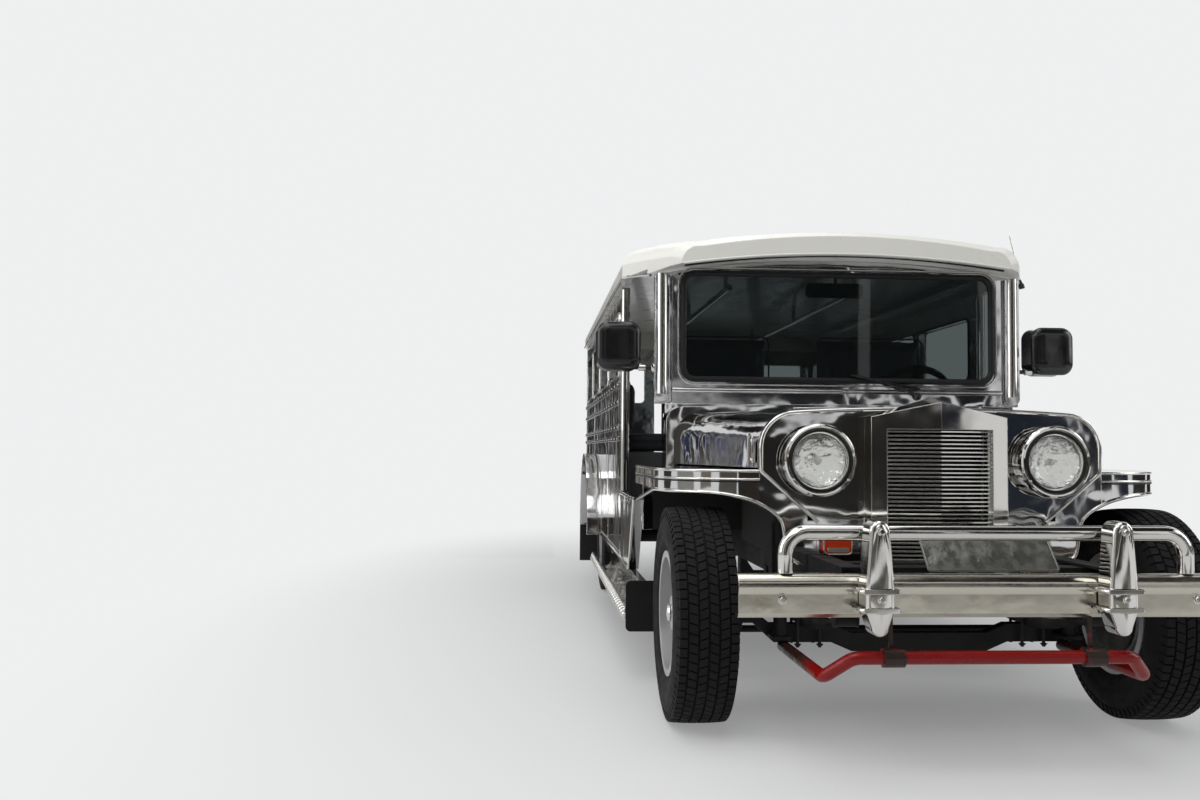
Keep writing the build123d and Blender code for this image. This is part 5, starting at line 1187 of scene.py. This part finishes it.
def swollen_places(made, before, rest_axis, rest_level):
    """Where each point of the block goes while the points of its resting face stay."""
    pinned = made.vertex_groups.new(name="rest")
    resting = [i for i, place in enumerate(before) if abs(place[rest_axis] - rest_level) < 0.004]
    pinned.add(resting, 1.0, "REPLACE")
    cloth = made.modifiers.new("cloth", "CLOTH")
    cloth.settings.vertex_group_mass = "rest"
    cloth.settings.use_pressure = True
    cloth.settings.uniform_pressure_force = cloth_pressure
    cloth.settings.effector_weights.gravity = 0
    cloth.settings.quality = 4
    cloth.collision_settings.use_collision = False
    for frame_number in range(1, cloth_frames + 1):
        bpy.context.scene.frame_set(frame_number)
    swollen = modified_mesh(made)
    bpy.context.scene.frame_set(1)
    return [vert.co.copy() for vert in swollen.vertices]


# %% A corded seam round the rim, a little behind the crown
def cushion_seam(name, size, middle, rest_axis, free_side):
    across, along = [i for i in range(3) if i != rest_axis]
    half_across, half_along = size[across] / 2 - 0.004, size[along] / 2 - 0.004
    level = middle[rest_axis] + free_side * (size[rest_axis] / 2 - 0.026)
    route = []
    for a, b in rounded_loop(half_across, -half_along, half_along, 0.032, 4):
        place = [level, level, level]
        place[across] = middle[across] + a
        place[along] = middle[along] + b
        route.append(place)
    bead(name + "_seam", route, 0.0042, seat_vinyl, closed=True)


# %% One cushion: block, air, crown, channels and seam
swell_cap = 0.022
crown_rise = 0.006
channel_depth, channel_width = 0.011, 0.012


def cushion(name, low, high, rest_axis, rest_side, channel_axis, channel_pitch):
    """rest_axis and rest_side say which face rests on the seat; channels cross channel_axis."""
    size, middle = high - low, (low + high) / 2
    free_side = -rest_side
    block = Vector([size[i] - (0.010 if i == rest_axis else 0.016) for i in range(3)])
    made = cushion_block(name, block, middle, 0.018 if max(size) > 1.5 else 0.0125)
    before = [vert.co.copy() for vert in made.data.vertices]
    after = swollen_places(made, before, rest_axis, rest_side * block[rest_axis] / 2)
    for vert, first, last in zip(made.data.vertices, before, after):
        move = last - first
        if move.length > swell_cap:
            move = move * (swell_cap / move.length)
        place = first + move
        # The crown, and the channels that cross it
        spans = [1 - (2 * first[i] / size[i]) ** 2 for i in range(3) if i != rest_axis]
        if free_side * first[rest_axis] > block[rest_axis] * 0.22:
            place[rest_axis] += free_side * crown_rise * max(0.0, spans[0]) * max(0.0, spans[1])
            off = (first[channel_axis] + channel_pitch / 2) % channel_pitch - channel_pitch / 2
            if abs(first[channel_axis]) < size[channel_axis] / 2 - 0.03:
                place[rest_axis] -= free_side * channel_depth * math.exp(-((off / channel_width) ** 2))
        # Nothing leaves the room that the plain solid has, apart from the crown
        for i in range(3):
            limit = size[i] / 2 + (crown_rise if i == rest_axis else -0.001)
            place[i] = max(-limit, min(limit, place[i]))
        if rest_side * place[rest_axis] > size[rest_axis] / 2 - 0.002:
            place[rest_axis] = rest_side * (size[rest_axis] / 2 - 0.002)
        vert.co = place
    smooth = made.modifiers.new("smooth", "SUBSURF")
    smooth.levels = smooth.render_levels = 1
    made.data = modified_mesh(made)
    made.data.materials.clear()
    made.data.materials.append(seat_vinyl)
    for face in made.data.polygons:
        face.use_smooth = True
    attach(made, "chassis")
    cushion_seam(name, size, middle, rest_axis, free_side)
    return made


# %% Seats, benches and backs
bench_pitch, seat_pitch = 0.43, 0.108
for low, high in cushion_boxes:
    size = high - low
    side, word = sides[0] if low.x + high.x < 0 else sides[1]
    if size.y > 1.5 and size.x > 0.15:
        made = cushion(f"bench_seat_{word}", low, high, 2, -1, 1, bench_pitch)
    elif size.y > 1.5:
        made = cushion(f"bench_back_{word}", low, high, 0, side, 1, bench_pitch)
    elif size.z < 0.2:
        made = cushion(f"front_seat_{word}", low, high, 2, -1, 0, seat_pitch)
    else:
        made = cushion(f"front_back_{word}", low, high, 1, 1, 0, seat_pitch)
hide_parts("seat_cushions")

# %% [markdown]
# ## Mirrors and aerial
# A mirror's housing is a domed plastic shell. The plain solid is flat in front, so rings of its
# outline, each a little smaller and further ahead, are joined into a dome. The glass faces the
# driver, behind a thin rim. The aerial is a thin rod that leans back from the roof's edge.

# %% Domed housings and glass
mirrors_face_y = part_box("mirrors")[0].y
mirror_x, mirror_z, mirror_glass_y = 0.937, 1.330, -1.0602
# Columns: how far the ring stands ahead of the housing's front, its inset
crown_rows = ((0.000, 0.000), (0.007, 0.003), (0.013, 0.009), (0.018, 0.020), (0.021, 0.036), (0.0225, 0.055))
glass_loop = rounded_loop(0.082, -0.092, 0.092, 0.042)
for side, word in sides:
    points, faces = [], []
    for ahead, inset in crown_rows:
        corner = max(0.048 - inset * 0.55, 0.02)
        ring = rounded_loop(0.0925 - inset, -0.1025 + inset, 0.1025 - inset * 0.8, corner)
        points += [(side * mirror_x + x, mirrors_face_y + 0.002 - ahead, mirror_z + z) for x, z in ring]
    count = len(ring)
    for row in range(0, len(points) - count, count):
        for i in range(count):
            j = (i + 1) % count
            faces.append((row + i, row + j, row + count + j, row + count + i))
    faces.append(tuple(range(len(points) - count, len(points))))
    piece(f"mirror_crown_{word}", points, faces, black_plastic, slot="dash_plastic", smooth_angle=50)
    place = (side * mirror_x, mirror_glass_y, mirror_z)
    glass = slab(glass_loop, place, (-1, 0, 0), (0, 0, 1), 0.002, 0.0008)
    piece(f"mirror_glass_{word}", *glass, mirror_glass)
    place = (side * mirror_x, mirror_glass_y + 0.0002, mirror_z)
    rim_bead(f"mirror_rim_{word}", place, 0.0855, 0.0955, 0.045, 0.004, black_plastic)
print("mirror ring points:", count)

# %% Clamps and feet of the mirror arms
arm_y, arm_z = -1.135, 1.240
clamp_profile = [(0.0105, -0.016), (0.0135, -0.014), (0.0135, 0.014), (0.0105, 0.016)]
foot_profile = [(0.0, 0.0), (0.020, 0.0), (0.020, 0.004), (0.012, 0.009), (0.0105, 0.012)]
for side, word in sides:
    clamp = lathe(clamp_profile, (side * 0.838, arm_y, arm_z), (1, 0, 0), 24)
    foot = lathe(foot_profile, (side * 0.7865, arm_y, arm_z), (side, 0, 0), 24)
    piece(f"mirror_clamp_{word}", *joined([clamp, foot]), chrome, slot="chrome")
print("mirror arms at height", arm_z)

# %% Aerial on the left side of the roof's edge
aerial_foot, aerial_tip = Vector((0.800, -1.165, 1.610)), Vector((0.737, -1.190, 1.822))
base_profile = [(0.012, -0.012), (0.012, 0.006), (0.007, 0.012), (0.004, 0.028)]
base = lathe(base_profile, aerial_foot, aerial_tip - aerial_foot, 20)
piece("aerial_base", *base, black_plastic, slot="dash_plastic")
route = [aerial_foot, (aerial_foot + aerial_tip) / 2, aerial_tip]
bead("aerial_rod", route, 0.002, chrome)
print("aerial length:", round((aerial_tip - aerial_foot).length, 3))

# %% [markdown]
# ## Floor, light and camera
# The floor and the background are the same pale tone, so the vehicle stands in an empty studio.
# Polished metal only shows what stands round it. So dark and tinted cards stand where its panels
# mirror the room, as a photographer would place them. The camera itself doesn't see the cards.

# %% Rays that see the pale backdrop: from the camera, from metal and through glass
backdrop_tone = (0.86, 0.865, 0.87, 1)


def backdrop_rays(tree):
    path = tree.nodes.new("ShaderNodeLightPath")
    either = tree.nodes.new("ShaderNodeMath")
    either.operation = "ADD"
    tree.links.new(path.outputs["Is Camera Ray"], either.inputs[0])
    tree.links.new(path.outputs["Is Glossy Ray"], either.inputs[1])
    every = tree.nodes.new("ShaderNodeMath")
    every.operation = "ADD"
    every.use_clamp = True
    tree.links.new(either.outputs["Value"], every.inputs[0])
    tree.links.new(path.outputs["Is Transmission Ray"], every.inputs[1])
    return every.outputs["Value"]


# %% A mesh of the studio, outside the vehicle's own pieces
def stage_piece(name, points, faces, finish):
    mesh = bpy.data.meshes.new(name)
    mesh.from_pydata([tuple(p) for p in points], [], faces)
    mesh.materials.append(finish)
    made = bpy.data.objects.new(name, mesh)
    bpy.context.scene.collection.objects.link(made)
    return made


# %% Floor: lit and shadowed near the vehicle, the backdrop's own tone farther out
shadow_half_width, shadow_half_length = 1.5, 3.4
floor_finish = start_finish("studio_floor", (0.62, 0.62, 0.62), 0.65)
rings = lathe([(0.0, 0.0), (6.0, 0.0), (14.0, 0.0), (60.0, 0.0)], (0, 0, 0), (0, 0, 1), 64)
stage_piece("studio_floor", *rings, floor_finish)
tree = floor_finish.node_tree
glow = add_node(floor_finish, "ShaderNodeEmission", Color=backdrop_tone)
link(floor_finish, remap(floor_finish, backdrop_rays(tree), 0.0, 1.0, 0.45), glow.inputs["Strength"])
place = add_node(floor_finish, "ShaderNodeNewGeometry")
oval = add_node(floor_finish, "ShaderNodeVectorMath", operation="MULTIPLY")
oval.inputs[1].default_value = (1 / shadow_half_width, 1 / shadow_half_length, 0)
reach = add_node(floor_finish, "ShaderNodeVectorMath", operation="LENGTH")
fade = add_node(floor_finish, "ShaderNodeMapRange", interpolation_type="SMOOTHSTEP")
fade.inputs["From Min"].default_value = 0.5
fade.inputs["From Max"].default_value = 2.3
fade.inputs["To Min"].default_value = 0.25
blend = add_node(floor_finish, "ShaderNodeMixShader")
link(floor_finish, place.outputs["Position"], oval.inputs[0])
link(floor_finish, oval.outputs["Vector"], reach.inputs[0])
link(floor_finish, reach.outputs["Value"], fade.inputs["Value"])
link(floor_finish, fade.outputs["Result"], blend.inputs["Fac"])
link(floor_finish, shader_of(floor_finish).outputs["BSDF"], blend.inputs[1])
link(floor_finish, glow.outputs["Emission"], blend.inputs[2])
link(floor_finish, blend.outputs["Shader"], tree.nodes["Material Output"].inputs["Surface"])
print("nodes in the floor's finish:", len(tree.nodes))

# %% World: the pale backdrop, with a weaker grey that lights matt surfaces
world = bpy.data.worlds.new("studio")
bpy.context.scene.world = world
world.use_nodes = True
tree = world.node_tree
ambient = tree.nodes["Background"]
ambient.inputs["Color"].default_value = (0.34, 0.345, 0.35, 1)
backdrop = tree.nodes.new("ShaderNodeBackground")
backdrop.inputs["Color"].default_value = backdrop_tone
choose = tree.nodes.new("ShaderNodeMixShader")
tree.links.new(backdrop_rays(tree), choose.inputs["Fac"])
tree.links.new(ambient.outputs["Background"], choose.inputs[1])
tree.links.new(backdrop.outputs["Background"], choose.inputs[2])
tree.links.new(choose.outputs["Shader"], tree.nodes["World Output"].inputs["Surface"])
print("nodes in the world:", len(tree.nodes))

# %% Cards that the metal mirrors
# Columns: middle, half width, half height, the direction that the card faces, colour
cards = (
    ((-6.2, -11.0, 2.6), 2.4, 2.8, (0, 1, 0), (0.220, 0.200, 0.170)),
    ((-1.6, -11.0, 2.6), 1.9, 2.8, (0, 1, 0), (0.045, 0.036, 0.026)),
    ((1.75, -11.0, 0.65), 1.3, 0.85, (0, 1, 0), (0.022, 0.020, 0.018)),
    ((1.75, -11.0, 3.54), 1.3, 1.86, (0, 1, 0), (0.012, 0.013, 0.016)),
    ((3.95, -11.0, 0.65), 0.75, 0.85, (0, 1, 0), (0.020, 0.028, 0.050)),
    ((3.95, -11.0, 3.54), 0.75, 1.86, (0, 1, 0), (0.012, 0.013, 0.018)),
    ((5.02, -11.0, 0.85), 0.26, 1.05, (0, 1, 0), (0.022, 0.024, 0.034)),
    ((1.00, -6.20, 0.004), 4.0, 0.42, (0, 0, 1), (0.36, 0.34, 0.28)),
    ((1.00, -7.36, 0.004), 5.0, 0.71, (0, 0, 1), (0.110, 0.100, 0.088)),
    ((8.6, -11.0, 2.6), 2.3, 2.8, (0, 1, 0), (0.030, 0.028, 0.026)),
    ((-9.0, -6.6, 2.9), 1.6, 2.6, (1, 0, 0), (0.450, 0.400, 0.330)),
    ((-9.0, -1.6, 2.9), 1.7, 2.6, (1, 0, 0), (0.600, 0.570, 0.520)),
    ((-9.0, 3.6, 2.9), 1.5, 2.6, (1, 0, 0), (0.070, 0.064, 0.056)),
    ((9.0, -6.6, 2.9), 2.0, 2.6, (-1, 0, 0), (0.020, 0.026, 0.050)),
    ((9.0, -1.4, 2.9), 2.0, 2.6, (-1, 0, 0), (0.030, 0.028, 0.026)),
    ((9.0, 3.9, 2.9), 2.2, 2.6, (-1, 0, 0), (0.020, 0.020, 0.022)),
    ((-9.60, 14.0, 2.2), 0.36, 2.6, (0, -1, 0), (0.010, 0.026, 0.110)),
    ((-8.90, 14.0, 2.2), 0.25, 2.6, (0, -1, 0), (0.050, 0.030, 0.020)),
    ((-8.22, 14.0, 2.2), 0.34, 2.6, (0, -1, 0), (0.010, 0.022, 0.080)),
    ((-5.60, 14.0, 2.2), 2.20, 2.6, (0, -1, 0), (0.100, 0.092, 0.080)),
    ((-2.78, 14.0, 2.2), 0.36, 2.6, (0, -1, 0), (0.300, 0.270, 0.220)),
    ((-1.78, 14.0, 2.2), 0.58, 2.6, (0, -1, 0), (0.026, 0.024, 0.026)),
    ((-1.90, 8.50, 0.004), 0.80, 5.2, (0, 0, 1), (0.060, 0.055, 0.048)),
    ((3.60, 14.0, 2.2), 1.40, 2.6, (0, -1, 0), (0.030, 0.028, 0.026)),
    ((-5.2, -5.6, 7.2), 1.6, 4.0, (0, 0, -1), (0.020, 0.018, 0.016)),
    ((4.6, -5.6, 7.2), 2.6, 4.0, (0, 0, -1), (0.020, 0.018, 0.016)),
    ((-5.2, 4.8, 7.2), 1.8, 4.0, (0, 0, -1), (0.020, 0.018, 0.016)),
    ((4.6, 4.8, 7.2), 2.6, 4.0, (0, 0, -1), (0.020, 0.018, 0.016)),
    ((0.0, -8.9, 6.6), 9.0, 1.4, (0, 0, -1), (0.020, 0.018, 0.016)),
    ((-1.0, -2.8, 5.8), 0.6, 3.4, (0, 0, -1), (0.200, 0.185, 0.165)),
)
for number, (middle, half_width, half_height, facing, colour) in enumerate(cards):
    across = Vector((0, 1, 0)) if facing[0] else Vector((1, 0, 0))
    upward = Vector(facing).cross(across)
    corners = [
        Vector(middle) + across * half_width * i + upward * half_height * j
        for i, j in ((-1, -1), (1, -1), (1, 1), (-1, 1))
    ]
    card = stage_piece(f"card_{number}", corners, [(0, 1, 2, 3)], start_finish(f"card_{number}", colour, 0.9))
    card.visible_camera = False
    card.visible_diffuse = False
    card.visible_transmission = False
    card.visible_shadow = False
print("cards:", len(cards))

# %% Lamps: one above and a weaker one on each side
aim = Vector((0, 0, 0.9))
# Columns: name, place, size across, size along, watts
for name, place, across, along, watts in (
    ("key_above", (-1.5, -2.0, 6.0), 5.0, 8.0, 270),
    ("fill_left", (7.0, -3.0, 3.5), 4.0, 4.0, 130),
    ("fill_right", (-7.0, -2.0, 3.0), 4.0, 4.0, 130),
):
    light = bpy.data.lights.new(name, "AREA")
    light.shape = "RECTANGLE"
    light.size = across
    light.size_y = along
    light.energy = watts
    lamp = bpy.data.objects.new(name, light)
    bpy.context.scene.collection.objects.link(lamp)
    lamp.location = place
    lamp.rotation_euler = (aim - Vector(place)).to_track_quat("-Z", "Y").to_euler()
print("lamps:", len(bpy.data.lights))

# %% Camera at the photograph's place
camera_place = Vector((-1.299, -5.757, 0.89))
yaw, pitch_up, roll = math.radians(3.53), math.radians(2.6), math.radians(0.45)
ahead = Vector((math.sin(yaw) * math.cos(pitch_up), math.cos(yaw) * math.cos(pitch_up), math.sin(pitch_up)))
level = Vector((math.cos(yaw), -math.sin(yaw), 0))
above = level.cross(ahead)
right = level * math.cos(roll) + above * math.sin(roll)
up = above * math.cos(roll) - level * math.sin(roll)
camera_data = bpy.data.cameras.new("camera")
camera_data.lens = 33
camera = bpy.data.objects.new("camera", camera_data)
bpy.context.scene.collection.objects.link(camera)
turned = Matrix((right, up, -ahead)).transposed().to_4x4()
camera.matrix_world = Matrix.Translation(camera_place) @ turned
bpy.context.scene.camera = camera
bpy.context.scene.view_settings.view_transform = "Standard"
print("camera at", [round(v, 3) for v in camera_place])
